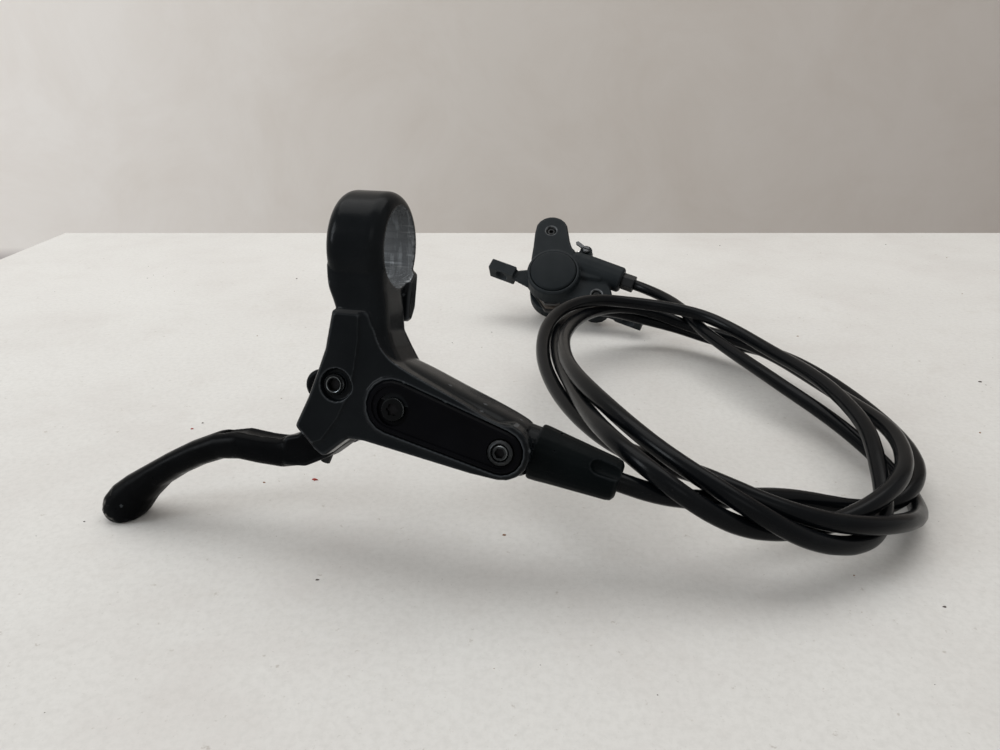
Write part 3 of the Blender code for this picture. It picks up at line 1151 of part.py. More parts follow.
def make_caliper_fittings():
    cap = CAP_DIAMETER / 2
    profile = [
        (0.0, 0.0), (cap - 0.0012, 0.0), (cap - 0.0004, -0.0003), (cap, -0.0010), (cap, -CAP_THICKNESS),
        (0.0, -CAP_THICKNESS),
    ]
    turned("bore_cap", profile, (0, 0, 0), (0, 0, 1), caliper_frame, CAP_BLACK, steps=32)
    ring("bore_cap_seal", BORE - 0.0004, cap, SEAL_SEAT + FIT, CAP_SEAT, (0, 0, 0), (0, 0, 1),
         caliper_frame, SEAL_RUBBER, steps=24)

    head = BODY_BOLT_HEAD_DIAMETER / 2
    shank = BODY_BOLT_DIAMETER / 2
    seat = INNER_WEB_FACE - FIT
    foot = seat - BODY_BOLT_HEAD_HEIGHT
    for name, place, face in (("body_bolt_tongue", TONGUE, TONGUE_FACE), ("body_bolt_lug", LUG, LUG_FACE)):
        tip = face - 0.0012
        profile = [
            (0.0, tip), (shank - 0.0006, tip), (shank, tip - 0.0006), (shank, seat), (head, seat),
            (head, foot + 0.0005), (head - 0.0005, foot), (0.0, foot),
        ]
        bolt = turned(name, profile, (*place, 0.0), (0, 0, 1), caliper_frame, BRIGHT_STEEL, steps=16)
        cut(bolt, hexagon(name + "_socket_cut", 0.0050, foot - 0.001, foot + 0.0024, (*place, 0.0), (0, 0, 1),
                          caliper_frame))
        cut(bolt, hexagon(name + "_tip_cut", 0.0022, tip - 0.0014, tip + 0.001, (*place, 0.0), (0, 0, 1),
                          caliper_frame))
    ring("crossover_seal", 0.0013, 0.0023, MID_PLANE - 0.00055, MID_PLANE + 0.00055, (*CROSSING, 0.0),
         (0, 0, 1), caliper_frame, SEAL_RUBBER, steps=12)

    piston_end = 0.0062
    radius = PISTON_DIAMETER / 2
    for name, side in (("outer", 1), ("inner", -1)):
        profile = [
            (0.0, PISTON_FACE + piston_end), (radius - 0.0006, PISTON_FACE + piston_end),
            (radius, PISTON_FACE + piston_end - 0.0006), (radius, PISTON_FACE), (radius - 0.0024, PISTON_FACE),
            (radius - 0.0024, PISTON_FACE + 0.0050), (0.0, PISTON_FACE + 0.0050),
        ]
        turned(name + "_piston", profile, (0, 0, MID_PLANE), (0, 0, side), caliper_frame, PHENOLIC,
               steps=24)
        low = PISTON_FACE - FIT / 2 + 0.0026 + FIT
        ring(name + "_piston_seal", radius + FIT, BORE + 0.0012 - FIT, low, low + PISTON_SEAL,
             (0, 0, MID_PLANE), (0, 0, side), caliper_frame, SEAL_RUBBER, steps=24)
        make_pad(name, side)

    start, way = bleed_axis()
    profile = [
        (0.0, 0.0082), (0.0010, 0.0082), (0.0017, 0.0076), (0.0017, 0.0064), (0.0013, 0.0058),
        (0.0013, 0.0046), (0.0017, 0.0042), (0.0017, -0.0056), (0.0, -0.0056),
    ]
    nipple = turned("bleed_nipple", profile, start, way, caliper_frame, BRIGHT_STEEL, steps=12)
    join(nipple, hexagon("nipple_hex_form", 0.0050, FIT, 0.0034, start, way, caliper_frame))
    make_nut("caliper_hose_nut", "caliper_olive", Vector((0.0, ARM_Y, ARM_Z)), Vector((1, 0, 0)),
             caliper_frame, ARM_LENGTH, CALIPER_NUT_HEAD)


def pad_outline(grow=0.0):
    """A pad's main outline, its foot following the disc's rim."""
    wide = PAD_WIDTH / 2 - grow
    top = PAD_TOP - grow
    foot = PAD_BOTTOM + grow
    return [
        (-wide, foot + 0.0050), (-wide + 0.0036, foot), (wide - 0.0036, foot), (wide, foot + 0.0050),
        (wide, top - 0.0040), (wide - 0.0030, top), (-wide + 0.0030, top), (-wide, top - 0.0040),
    ]


def make_pad(name, side):
    """A pad: a lining on a steel back plate with a tab round the pin."""
    low, high = sorted((MID_PLANE + side * PLATE_FACE, MID_PLANE + side * (PLATE_FACE + PLATE_THICKNESS)))
    outline = pad_outline()
    tab = [(PIN_OFFSET + 0.0042, PAD_TOP)] + arc((PIN_OFFSET, PIN_HEIGHT), 0.0038, 0, 180, 9)
    tab += [(PIN_OFFSET - 0.0042, PAD_TOP)]
    outline = outline[:6] + tab + outline[6:]
    plate = flat(name + "_pad_plate", outline, low, high, pad_frame, BRIGHT_STEEL)
    cut(plate, rod(name + "_pad_pin_cut", (PIN_OFFSET, PIN_HEIGHT, -0.04), (PIN_OFFSET, PIN_HEIGHT, 0.0),
                   PIN_DIAMETER / 2 + FIT, pad_frame, sides=16))
    low, high = sorted((MID_PLANE + side * LINING_FACE, MID_PLANE + side * (LINING_FACE + LINING_THICKNESS)))
    flat(name + "_pad_lining", pad_outline(0.0009), low, high, pad_frame, LINING)


def make_pin_and_spring():
    near = -0.0066
    far = INNER_WEB_FACE - 0.0004
    radius = PIN_DIAMETER / 2
    profile = [
        (0.0, near + 0.0012), (0.0016, near + 0.0012), (0.0021, near + 0.0008), (0.0021, near - 0.0003),
        (radius, near - 0.0003), (radius, far + 0.0006), (radius - 0.0004, far), (0.0, far),
    ]
    pin = turned("pad_pin", profile, (*PIN, 0.0), (0, 0, 1), caliper_frame, BRIGHT_STEEL, steps=12)
    x, y = PIN
    leg = flat("pin_leg_form", [(x + 0.0006, y - 0.0010), (x + 0.0006, y + 0.0008), (x - 0.0060, y + 0.0032),
                                (x - 0.0070, y + 0.0022), (x - 0.0062, y + 0.0010)],
               near, near + 0.0009, caliper_frame)
    join(pin, leg)
    cut(pin, block("pin_slot_cut", (PIN[0] - 0.003, PIN[1] - 0.0003, near + 0.0006),
                   (PIN[0] + 0.003, PIN[1] + 0.0003, near + 0.002), caliper_frame))
    clip_inner = radius + FIT
    clip = ring("pin_clip", clip_inner, clip_inner + 0.0011, INNER_WEB_FACE + 0.0002,
                INNER_WEB_FACE + 0.0009, (*PIN, 0.0), (0, 0, 1), caliper_frame, BRIGHT_STEEL, steps=12)
    cut(clip, block("clip_gap_cut", (PIN[0] - 0.0007, PIN[1], INNER_WEB_FACE - 0.002),
                    (PIN[0] + 0.0007, PIN[1] + 0.01, INNER_WEB_FACE + 0.002), caliper_frame))

    gap = PLATE_FACE - 0.0005
    top = PIN_HEIGHT - radius - 0.0004
    foot = PAD_TOP + 0.0004
    sheet = SPRING_SHEET
    outline = [
        (foot, MID_PLANE - gap), (top, MID_PLANE - gap), (top, MID_PLANE + gap), (foot, MID_PLANE + gap),
        (foot, MID_PLANE + gap - sheet), (top - sheet, MID_PLANE + gap - sheet),
        (top - sheet, MID_PLANE - gap + sheet), (foot, MID_PLANE - gap + sheet),
    ]
    spring = flat("pad_spring", outline, PIN_OFFSET - 0.0034, PIN_OFFSET + 0.0034, pad_frame, BRIGHT_STEEL)
    spring.matrix_local = Matrix(((0, 0, 1, 0), (1, 0, 0, 0), (0, 1, 0, 0), (0, 0, 0, 1)))


def make_hose():
    """The hose: a run from the lever, the coil's outer shape, and a run to the caliper."""
    bpy.context.view_layer.update()
    lever = lever_frame.matrix_world
    caliper = caliper_frame.matrix_world
    inside = PORT_NECK_LENGTH - 0.0058 - FIT - 0.0028
    first = [lever @ on_port(inside), lever @ on_port(BOOT_LENGTH * 0.5), lever @ on_port(BOOT_LENGTH),
             lever @ on_port(BOOT_LENGTH + 0.005)]
    first += [Vector(place) for place in FIRST_RUN]
    tube("hose_from_lever", flowing(first, 3, closed=False), HOSE_DIAMETER, HOSE_BLACK)
    start = Vector((0.0, ARM_Y, ARM_Z))
    last = [caliper @ (start + Vector((ARM_LENGTH - 0.0089, 0, 0))),
            caliper @ (start + Vector((ARM_LENGTH + 0.0030, 0, 0))),
            caliper @ (start + Vector((ARM_LENGTH + 0.0110, 0, 0)))]
    last += [Vector(place) for place in LAST_RUN]
    tube("hose_to_caliper", flowing(last, 3, closed=False), HOSE_DIAMETER, HOSE_BLACK)
    tube("hose_coil", flowing(COIL_WAY, 3), COIL_THICKNESS, HOSE_BLACK, closed=True)


make_housing()
make_clamp_bolt()
make_cover()
make_cover_screws()
make_pivot()
make_blade()
make_master()
make_nut("lever_hose_nut", "lever_olive", PORT, PORT_WAY, lever_frame, PORT_NECK_LENGTH, NUT_HEAD)
make_boot()
make_outer_half()
make_inner_half()
make_caliper_fittings()
make_pin_and_spring()
make_hose()
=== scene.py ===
"""Looks of the hydraulic disc brake: its castings, materials and free hose, and the room round it."""

import math
import random

import bmesh
import bpy
from mathutils import Euler, Matrix, Vector


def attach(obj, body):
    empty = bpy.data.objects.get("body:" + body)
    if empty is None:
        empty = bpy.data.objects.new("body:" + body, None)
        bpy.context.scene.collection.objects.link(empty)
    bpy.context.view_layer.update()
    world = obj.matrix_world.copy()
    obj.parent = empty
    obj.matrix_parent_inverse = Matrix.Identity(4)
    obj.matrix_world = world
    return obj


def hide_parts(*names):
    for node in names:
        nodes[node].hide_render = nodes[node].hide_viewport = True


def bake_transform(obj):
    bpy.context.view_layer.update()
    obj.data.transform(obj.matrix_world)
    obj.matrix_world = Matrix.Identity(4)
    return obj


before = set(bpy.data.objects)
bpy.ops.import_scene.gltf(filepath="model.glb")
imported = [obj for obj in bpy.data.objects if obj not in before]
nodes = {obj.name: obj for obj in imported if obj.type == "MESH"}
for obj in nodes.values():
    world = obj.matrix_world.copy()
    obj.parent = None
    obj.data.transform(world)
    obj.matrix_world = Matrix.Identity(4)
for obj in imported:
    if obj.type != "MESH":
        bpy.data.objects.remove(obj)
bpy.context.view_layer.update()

# Where the lever and the caliper lie, and how they are turned
LEVER_PLACE = Vector((-0.0106, -0.0892, 0.0860))
LEVER_TURN = (math.radians(-17.0), 0.0, math.radians(-15.0))
CALIPER_PLACE = Vector((0.0537, 0.0890, 0.0312))
CALIPER_TURN = (math.radians(39.97), math.radians(13.28), math.radians(-23.2))
LEVER = Matrix.Translation(LEVER_PLACE) @ Euler(LEVER_TURN).to_matrix().to_4x4()
CALIPER = Matrix.Translation(CALIPER_PLACE) @ Euler(CALIPER_TURN).to_matrix().to_4x4()

# Lever, in its own frame: X along the bar, Z up from the barrel to the bar
BAR_RADIUS = 0.0111
RING_RADIUS = BAR_RADIUS + 0.0042
CLAMP_WIDTH = 0.0166
CLAMP_MIDDLE_X = 0.0002
CLAMP_ROUNDING = 0.0040
FORK_TOP = -0.0270
PIVOT = Vector((-0.0033, 0.0, -0.0387))
MASTER_SLOPE = math.radians(20.0)
MASTER_WAY = Vector((math.cos(MASTER_SLOPE), 0.0, -math.sin(MASTER_SLOPE)))
MASTER_UP = Vector((math.sin(MASTER_SLOPE), 0.0, math.cos(MASTER_SLOPE)))
MASTER_PLACE = PIVOT + Vector((0.0, 0.0008, 0.0)) + MASTER_UP * 0.0070
MASTER_RADIUS = 0.0047
MASTER_END = 0.0440
PORT_SLOPE = math.radians(13.1)
PORT_WAY = Vector((math.cos(PORT_SLOPE), 0.0, -math.sin(PORT_SLOPE)))
PORT_PLACE = Vector((0.0515, 0.0, -0.0527))
PORT_RADIUS = 0.0041
COVER_FACE = -0.0141
# Rows across the neck: height, left, right, near and far
NECK_ROWS = [
    (-0.0060, -0.0086, 0.0084, -0.0130, 0.0048), (-0.0120, -0.0078, 0.0088, -0.0128, 0.0048),
    (-0.0180, -0.0054, 0.0098, -0.0124, 0.0048), (-0.0230, -0.0058, 0.0104, -0.0122, 0.0048),
    (-0.0275, -0.0064, 0.0118, -0.0121, 0.0082), (-0.0330, -0.0072, 0.0150, -0.0121, 0.0094),
]
# Rows across the barrel: place along it, top, foot, near and far
BARREL_ROWS = [
    (0.0040, -0.0290, -0.0524, -0.0121, 0.0096), (0.0150, -0.0314, -0.0545, -0.0121, 0.0096),
    (0.0300, -0.0371, -0.0570, -0.0121, 0.0090), (0.0420, -0.0416, -0.0588, -0.0118, 0.0078),
    (0.0480, -0.0444, -0.0592, -0.0094, 0.0072), (0.0498, -0.0458, -0.0590, -0.0074, 0.0068),
]
BARREL_COVER = 0.00015
# The front plate's upper edge, from the neck to the cover
SWEEP = [
    (0.0050, -0.0182), (0.0074, -0.0225), (0.0086, -0.0254), (0.0103, -0.0282), (0.0128, -0.0305),
    (0.0162, -0.0324), (0.0205, -0.0343), (0.0300, -0.0383), (0.0420, -0.0434),
]
SWEEP_FOOT = [(0.0300, -0.0450), (0.0040, -0.0400)]
PLATE_FRONT = -0.0130
PLATE_BACK = -0.0064

# Caliper, in its own frame: Z out of the cap
EAR_MIDDLE_X = 0.0090
EAR_SPACING = 0.074
EAR_HALF_WIDTH = 0.0073
EAR_SLOT_RADIUS = 0.0032
EAR_SLOT_HALF = 0.0004
EAR_SLOT_Z = -0.0109
BOLT_PLACES = ((-0.0123, 0.0245), (0.0256, -0.0016))
CAP_PROFILE = [
    (0.0, -0.0031), (0.0122, -0.0031), (0.0122, -0.0009), (0.0120, -0.0004), (0.0116, -0.0001),
    (0.0110, 0.0), (0.0, 0.0),
]

# Hose
HOSE_DIAMETER = 0.0055
# The hose's way from the lever's nut, through the coil, to the caliper's nut
HOSE_WAY = [
    (0.04255, -0.11994, 0.03387), (0.05086, -0.12279, 0.03192), (0.05954, -0.12469, 0.02925),
    (0.06746, -0.12487, 0.02657), (0.07516, -0.12353, 0.02422), (0.08300, -0.12095, 0.02210),
    (0.09121, -0.11758, 0.02035), (0.09967, -0.11409, 0.01860), (0.10823, -0.11105, 0.01653),
    (0.11674, -0.10866, 0.01405), (0.12513, -0.10670, 0.01134), (0.13332, -0.10481, 0.00897),
    (0.14118, -0.10260, 0.00756), (0.14851, -0.09958, 0.00777), (0.15473, -0.09513, 0.00891),
    (0.15974, -0.08938, 0.00966), (0.16340, -0.08248, 0.01005), (0.16584, -0.07468, 0.01018),
    (0.16726, -0.06623, 0.01021), (0.16782, -0.05731, 0.01023), (0.16765, -0.04808, 0.01033),
    (0.16683, -0.03867, 0.01051), (0.16543, -0.02919, 0.01078), (0.16349, -0.01971, 0.01113),
    (0.16102, -0.01033, 0.01149), (0.15800, -0.00114, 0.01176), (0.15439, 0.00778, 0.01182),
    (0.15013, 0.01631, 0.01150), (0.14520, 0.02435, 0.01074), (0.13970, 0.03184, 0.00976),
    (0.13375, 0.03876, 0.00899), (0.12746, 0.04504, 0.00881), (0.12091, 0.05052, 0.00950),
    (0.11392, 0.05477, 0.01063), (0.10651, 0.05742, 0.01195), (0.09891, 0.05854, 0.01361),
    (0.09139, 0.05822, 0.01572), (0.08414, 0.05647, 0.01802), (0.07724, 0.05322, 0.02001),
    (0.07088, 0.04865, 0.02166), (0.06521, 0.04288, 0.02292), (0.06030, 0.03614, 0.02390),
    (0.05627, 0.02858, 0.02457), (0.05305, 0.02039, 0.02509), (0.05077, 0.01169, 0.02544),
    (0.04935, 0.00260, 0.02570), (0.04850, -0.00675, 0.02597), (0.04819, -0.01630, 0.02634),
    (0.04829, -0.02599, 0.02688), (0.04865, -0.03578, 0.02758), (0.04930, -0.04563, 0.02844),
    (0.05019, -0.05554, 0.02938), (0.05117, -0.06550, 0.03025), (0.05218, -0.07544, 0.03109),
    (0.05327, -0.08532, 0.03211), (0.05462, -0.09503, 0.03337), (0.05644, -0.10424, 0.03450),
    (0.05897, -0.11243, 0.03497), (0.06232, -0.11923, 0.03449), (0.06645, -0.12451, 0.03299),
    (0.07128, -0.12827, 0.03048), (0.07682, -0.13047, 0.02716), (0.08314, -0.13114, 0.02340),
    (0.09030, -0.13040, 0.01976), (0.09830, -0.12866, 0.01708), (0.10684, -0.12626, 0.01562),
    (0.11548, -0.12334, 0.01521), (0.12389, -0.11979, 0.01557), (0.13183, -0.11544, 0.01646),
    (0.13903, -0.11021, 0.01751), (0.14527, -0.10408, 0.01827), (0.15027, -0.09701, 0.01852),
    (0.15408, -0.08918, 0.01841), (0.15697, -0.08084, 0.01807), (0.15891, -0.07214, 0.01750),
    (0.15984, -0.06316, 0.01666), (0.15980, -0.05400, 0.01562), (0.15907, -0.04471, 0.01471),
    (0.15780, -0.03533, 0.01404), (0.15608, -0.02593, 0.01364), (0.15396, -0.01656, 0.01349),
    (0.15148, -0.00728, 0.01358), (0.14862, 0.00184, 0.01377), (0.14526, 0.01069, 0.01387),
    (0.14137, 0.01916, 0.01383), (0.13690, 0.02710, 0.01362), (0.13184, 0.03438, 0.01335),
    (0.12628, 0.04086, 0.01330), (0.12029, 0.04637, 0.01372), (0.11394, 0.05068, 0.01481),
    (0.10738, 0.05355, 0.01666), (0.10059, 0.05478, 0.01863), (0.09373, 0.05429, 0.02049),
    (0.08701, 0.05209, 0.02203), (0.08062, 0.04834, 0.02327), (0.07476, 0.04319, 0.02418),
    (0.06952, 0.03690, 0.02499), (0.06501, 0.02967, 0.02585), (0.06121, 0.02172, 0.02674),
    (0.05800, 0.01324, 0.02773), (0.05538, 0.00438, 0.02875), (0.05320, -0.00472, 0.02986),
    (0.05148, -0.01399, 0.03101), (0.05036, -0.02338, 0.03210), (0.04969, -0.03284, 0.03310),
    (0.04947, -0.04233, 0.03402), (0.04983, -0.05182, 0.03492), (0.05081, -0.06125, 0.03574),
    (0.05246, -0.07059, 0.03642), (0.05478, -0.07980, 0.03682), (0.05776, -0.08881, 0.03676),
    (0.06136, -0.09747, 0.03618), (0.06559, -0.10565, 0.03512), (0.07052, -0.11314, 0.03364),
    (0.07622, -0.11971, 0.03182), (0.08255, -0.12516, 0.02951), (0.08930, -0.12930, 0.02658),
    (0.09628, -0.13187, 0.02307), (0.10338, -0.13270, 0.01924), (0.11063, -0.13189, 0.01579),
    (0.11783, -0.12959, 0.01302), (0.12467, -0.12605, 0.01099), (0.13089, -0.12138, 0.00990),
    (0.13618, -0.11541, 0.01027), (0.14022, -0.10818, 0.01198), (0.14304, -0.09998, 0.01398),
    (0.14550, -0.09132, 0.01578), (0.14785, -0.08248, 0.01741), (0.14976, -0.07348, 0.01863),
    (0.15081, -0.06431, 0.01922), (0.15121, -0.05507, 0.01941), (0.15117, -0.04583, 0.01942),
    (0.15072, -0.03664, 0.01933), (0.14975, -0.02759, 0.01905), (0.14828, -0.01871, 0.01871),
    (0.14631, -0.01006, 0.01839), (0.14386, -0.00170, 0.01826), (0.14097, 0.00632, 0.01857),
    (0.13759, 0.01389, 0.01930), (0.13362, 0.02088, 0.02035), (0.12900, 0.02717, 0.02159),
    (0.12375, 0.03267, 0.02290), (0.11783, 0.03726, 0.02388), (0.11135, 0.04083, 0.02456),
    (0.10442, 0.04318, 0.02522), (0.09721, 0.04422, 0.02607), (0.08988, 0.04391, 0.02711),
    (0.08263, 0.04229, 0.02838), (0.07562, 0.03942, 0.02977), (0.06897, 0.03537, 0.03097),
    (0.06282, 0.03024, 0.03177), (0.05734, 0.02412, 0.03206), (0.05262, 0.01715, 0.03193),
    (0.04876, 0.00948, 0.03143), (0.04580, 0.00126, 0.03066), (0.04384, -0.00742, 0.02965),
    (0.04275, -0.01643, 0.02854), (0.04245, -0.02566, 0.02744), (0.04295, -0.03505, 0.02645),
    (0.04416, -0.04451, 0.02564), (0.04596, -0.05397, 0.02509), (0.04825, -0.06336, 0.02485),
    (0.05096, -0.07260, 0.02491), (0.05411, -0.08160, 0.02516), (0.05781, -0.09024, 0.02556),
    (0.06223, -0.09832, 0.02615), (0.06755, -0.10562, 0.02694), (0.07379, -0.11197, 0.02776),
    (0.08080, -0.11739, 0.02801), (0.08830, -0.12201, 0.02676), (0.09638, -0.12544, 0.02453),
    (0.10499, -0.12742, 0.02213), (0.11387, -0.12789, 0.01977), (0.12269, -0.12670, 0.01766),
    (0.13109, -0.12391, 0.01564), (0.13879, -0.11966, 0.01336), (0.14552, -0.11420, 0.01058),
    (0.15118, -0.10791, 0.00766), (0.15558, -0.10101, 0.00522), (0.15852, -0.09353, 0.00377),
    (0.15988, -0.08551, 0.00351), (0.15971, -0.07704, 0.00419), (0.15812, -0.06826, 0.00555),
    (0.15535, -0.05929, 0.00730), (0.15176, -0.05025, 0.00910), (0.14773, -0.04125, 0.01072),
    (0.14353, -0.03227, 0.01206), (0.13942, -0.02327, 0.01322), (0.13560, -0.01420, 0.01428),
    (0.13204, -0.00507, 0.01510), (0.12877, 0.00412, 0.01571), (0.12582, 0.01336, 0.01623),
    (0.12314, 0.02264, 0.01677), (0.12064, 0.03191, 0.01744), (0.11838, 0.04111, 0.01868),
    (0.11627, 0.05021, 0.02015), (0.11397, 0.05915, 0.02083), (0.11125, 0.06764, 0.02122),
    (0.10778, 0.07538, 0.02158), (0.10323, 0.08202, 0.02222), (0.09730, 0.08716, 0.02338),
    (0.08969, 0.09042, 0.02533), (0.08254, 0.09349, 0.02717),
]

# How finely the castings are drawn, in metres and in points round a ring
VOXEL = 0.00036
BOOT_VOXEL = 0.0003
RING_COUNT = 72
ROW_STEPS = 6
SCREW_STEPS = 64

# Table and wall
TABLE_FAR = 0.3223
TABLE_LEFT = -0.3362
TABLE_RIGHT = 1.6
TABLE_NEAR = -1.6
TABLE_THICK = 0.030
WALL_Y = 1.05
WALL_LOW = -1.0
WALL_HIGH = 2.2
GROUND = -0.75
ROOM_HALF = 3.0
ROOM_NEAR = -2.0

# Camera
CAMERA_PLACE = (0.0255, -0.2995, 0.1355)
CAMERA_PITCH = math.radians(23.0)
CAMERA_LENS = 27.04
CAMERA_SENSOR = 36.0


def material(name):
    """An empty Principled material with its tree and shader."""
    made = bpy.data.materials.new(name)
    made.use_nodes = True
    tree = made.node_tree
    return made, tree, tree.nodes["Principled BSDF"]


def noise_node(tree, scale, detail=4.0, rough=0.55, distortion=0.0, stretch=None):
    """Noise in object coordinates, stretched where asked."""
    place = tree.nodes.new("ShaderNodeTexCoord")
    found = tree.nodes.new("ShaderNodeTexNoise")
    found.inputs["Scale"].default_value = scale
    found.inputs["Detail"].default_value = detail
    found.inputs["Roughness"].default_value = rough
    found.inputs["Distortion"].default_value = distortion
    source = place.outputs["Object"]
    if stretch is not None:
        mapping = tree.nodes.new("ShaderNodeMapping")
        mapping.inputs["Scale"].default_value = stretch
        tree.links.new(source, mapping.inputs["Vector"])
        source = mapping.outputs["Vector"]
    tree.links.new(source, found.inputs["Vector"])
    return found.outputs["Fac"]


def ramp(tree, source, stops):
    """A colour ramp over a value."""
    made = tree.nodes.new("ShaderNodeValToRGB")
    made.color_ramp.elements.remove(made.color_ramp.elements[1])
    first = True
    for place, color in stops:
        element = made.color_ramp.elements[0] if first else made.color_ramp.elements.new(place)
        element.position = place
        element.color = (*color, 1.0)
        first = False
    tree.links.new(source, made.inputs["Fac"])
    return made.outputs["Color"]


def spread(tree, source, low, high, start=0.0, end=1.0):
    """A value taken from one range to another."""
    made = tree.nodes.new("ShaderNodeMapRange")
    made.inputs["From Min"].default_value = start
    made.inputs["From Max"].default_value = end
    made.inputs["To Min"].default_value = low
    made.inputs["To Max"].default_value = high
    tree.links.new(source, made.inputs["Value"])
    return made.outputs["Result"]


def bump(tree, shader, source, strength, distance):
    """Bump on a shader from a height."""
    made = tree.nodes.new("ShaderNodeBump")
    made.inputs["Strength"].default_value = strength
    made.inputs["Distance"].default_value = distance
    tree.links.new(source, made.inputs["Height"])
    tree.links.new(made.outputs["Normal"], shader.inputs["Normal"])
    return made


def painted(name, dark, light, rough_low, rough_high, grain, gloss=0.3):
    """Paint with faint colour and gloss changes and a fine orange-peel grain."""
    made, tree, shader = material(name)
    cloud = noise_node(tree, 90.0, 5.0)
    tree.links.new(ramp(tree, cloud, [(0.35, dark), (0.7, light)]), shader.inputs["Base Color"])
    smear = noise_node(tree, 240.0, 6.0, 0.6, 0.4)
    tree.links.new(spread(tree, smear, rough_low, rough_high, 0.3, 0.7), shader.inputs["Roughness"])
    bump(tree, shader, noise_node(tree, grain, 3.0), 0.22, 0.00006)
    shader.inputs["Specular IOR Level"].default_value = gloss
    return made


def metal(name, color, rough, scale=900.0, stretch=(1, 1, 1)):
    """Bright or dark metal with fine machining lines."""
    made, tree, shader = material(name)
    lines = noise_node(tree, scale, 5.0, 0.6, 0.0, stretch)
    shade = [c * 0.72 for c in color]
    tree.links.new(ramp(tree, lines, [(0.3, shade), (0.65, color)]), shader.inputs["Base Color"])
    tree.links.new(spread(tree, lines, rough * 0.75, rough * 1.3, 0.3, 0.7), shader.inputs["Roughness"])
    shader.inputs["Metallic"].default_value = 1.0
    bump(tree, shader, lines, 0.15, 0.00003)
    return made


def mask(tree, source, start, end):
    """A value cut to 0..1 between two levels."""
    made = tree.nodes.new("ShaderNodeMapRange")
    made.clamp = True
    made.inputs["From Min"].default_value = start
    made.inputs["From Max"].default_value = end
    tree.links.new(source, made.inputs["Value"])
    return made.outputs["Result"]


def maths(tree, operation, first, second):
    """One step of arithmetic on values or numbers."""
    made = tree.nodes.new("ShaderNodeMath")
    made.operation = operation
    for socket, value in zip(made.inputs, (first, second)):
        if isinstance(value, (int, float)):
            socket.default_value = value
        else:
            tree.links.new(value, socket)
    return made.outputs["Value"]


def length_of(tree, across, along):
    """The distance from the origin of a point in a plane."""
    squares = [maths(tree, "POWER", side, 2.0) for side in (across, along)]
    return maths(tree, "POWER", maths(tree, "ADD", *squares), 0.5)


def mixed(tree, factor, first, second):
    """A colour between two colours."""
    made = tree.nodes.new("ShaderNodeMix")
    made.data_type = "RGBA"
    tree.links.new(factor, made.inputs["Factor"])
    for socket, value in ((made.inputs[6], first), (made.inputs[7], second)):
        if isinstance(value, tuple):
            socket.default_value = (*value, 1.0)
        else:
            tree.links.new(value, socket)
    return made.outputs[2]


def axes(tree, place=None, turn=None):
    """A point's x, y and z, in a part's own frame where its place and turn are given."""
    source = tree.nodes.new("ShaderNodeTexCoord").outputs["Object"]
    if place is not None:
        mapping = tree.nodes.new("ShaderNodeMapping")
        mapping.vector_type = "TEXTURE"
        mapping.inputs["Location"].default_value = place
        mapping.inputs["Rotation"].default_value = turn
        tree.links.new(source, mapping.inputs["Vector"])
        source = mapping.outputs["Vector"]
    parts = tree.nodes.new("ShaderNodeSeparateXYZ")
    tree.links.new(source, parts.inputs["Vector"])
    return parts.outputs


def worn(made, wear, metal_color=(0.42, 0.42, 0.41), metal_rough=0.34):
    """Shows bare metal on a painted material where a wear mask is high."""
    tree = made.node_tree
    shader = tree.nodes["Principled BSDF"]
    color = shader.inputs["Base Color"].links[0].from_socket
    tree.links.new(mixed(tree, wear, color, metal_color), shader.inputs["Base Color"])
    tree.links.new(wear, shader.inputs["Metallic"])
    rough = shader.inputs["Roughness"].links[0].from_socket
    blend = tree.nodes.new("ShaderNodeMapRange")
    tree.links.new(wear, blend.inputs["Value"])
    tree.links.new(rough, blend.inputs["To Min"])
    blend.inputs["To Max"].default_value = metal_rough
    tree.links.new(blend.outputs["Result"], shader.inputs["Roughness"])


def from_bmesh(made, name):
    """A new object from a bmesh, linked to the scene."""
    data = bpy.data.meshes.new(name)
    made.to_mesh(data)
    made.free()
    built = bpy.data.objects.new(name, data)
    bpy.context.scene.collection.objects.link(built)
    return built


def ring_points(centre, right, up, half_right, half_up, power, count):
    """A closed ring of points, round at power 2 and squarer above it."""
    found = []
    for i in range(count):
        angle = 2 * math.pi * i / count
        c, s = math.cos(angle), math.sin(angle)
        x = math.copysign(abs(c) ** (2 / power), c) * half_right
        y = math.copysign(abs(s) ** (2 / power), s) * half_up
        found.append(Vector(centre) + Vector(right) * x + Vector(up) * y)
    return found


def skin(made, rings):
    """Faces between rings of points, and over both ends."""
    rows = [[made.verts.new(point) for point in ring] for ring in rings]
    for low, high in zip(rows, rows[1:]):
        for i in range(len(low)):
            k = (i + 1) % len(low)
            made.faces.new((low[i], low[k], high[k], high[i]))
    made.faces.new(list(reversed(rows[0])))
    made.faces.new(rows[-1])
    bmesh.ops.recalc_face_normals(made, faces=made.faces)


def between(before, first, second, after, share):
    """A value on a smooth curve through four rows."""
    found = []
    for a, b, c, d in zip(before, first, second, after):
        bend = 2 * a - 5 * b + 4 * c - d + share * (3 * (b - c) + d - a)
        found.append(b + 0.5 * share * (c - a + share * bend))
    return tuple(found)


def finer(rows, steps):
    """Rows of numbers with smooth rows put in between."""
    found = []
    last = len(rows) - 1
    for i in range(last):
        around = (rows[max(i - 1, 0)], rows[i], rows[i + 1], rows[min(i + 2, last)])
        found += [between(*around, step / steps) for step in range(steps)]
    return found + [tuple(rows[last])]


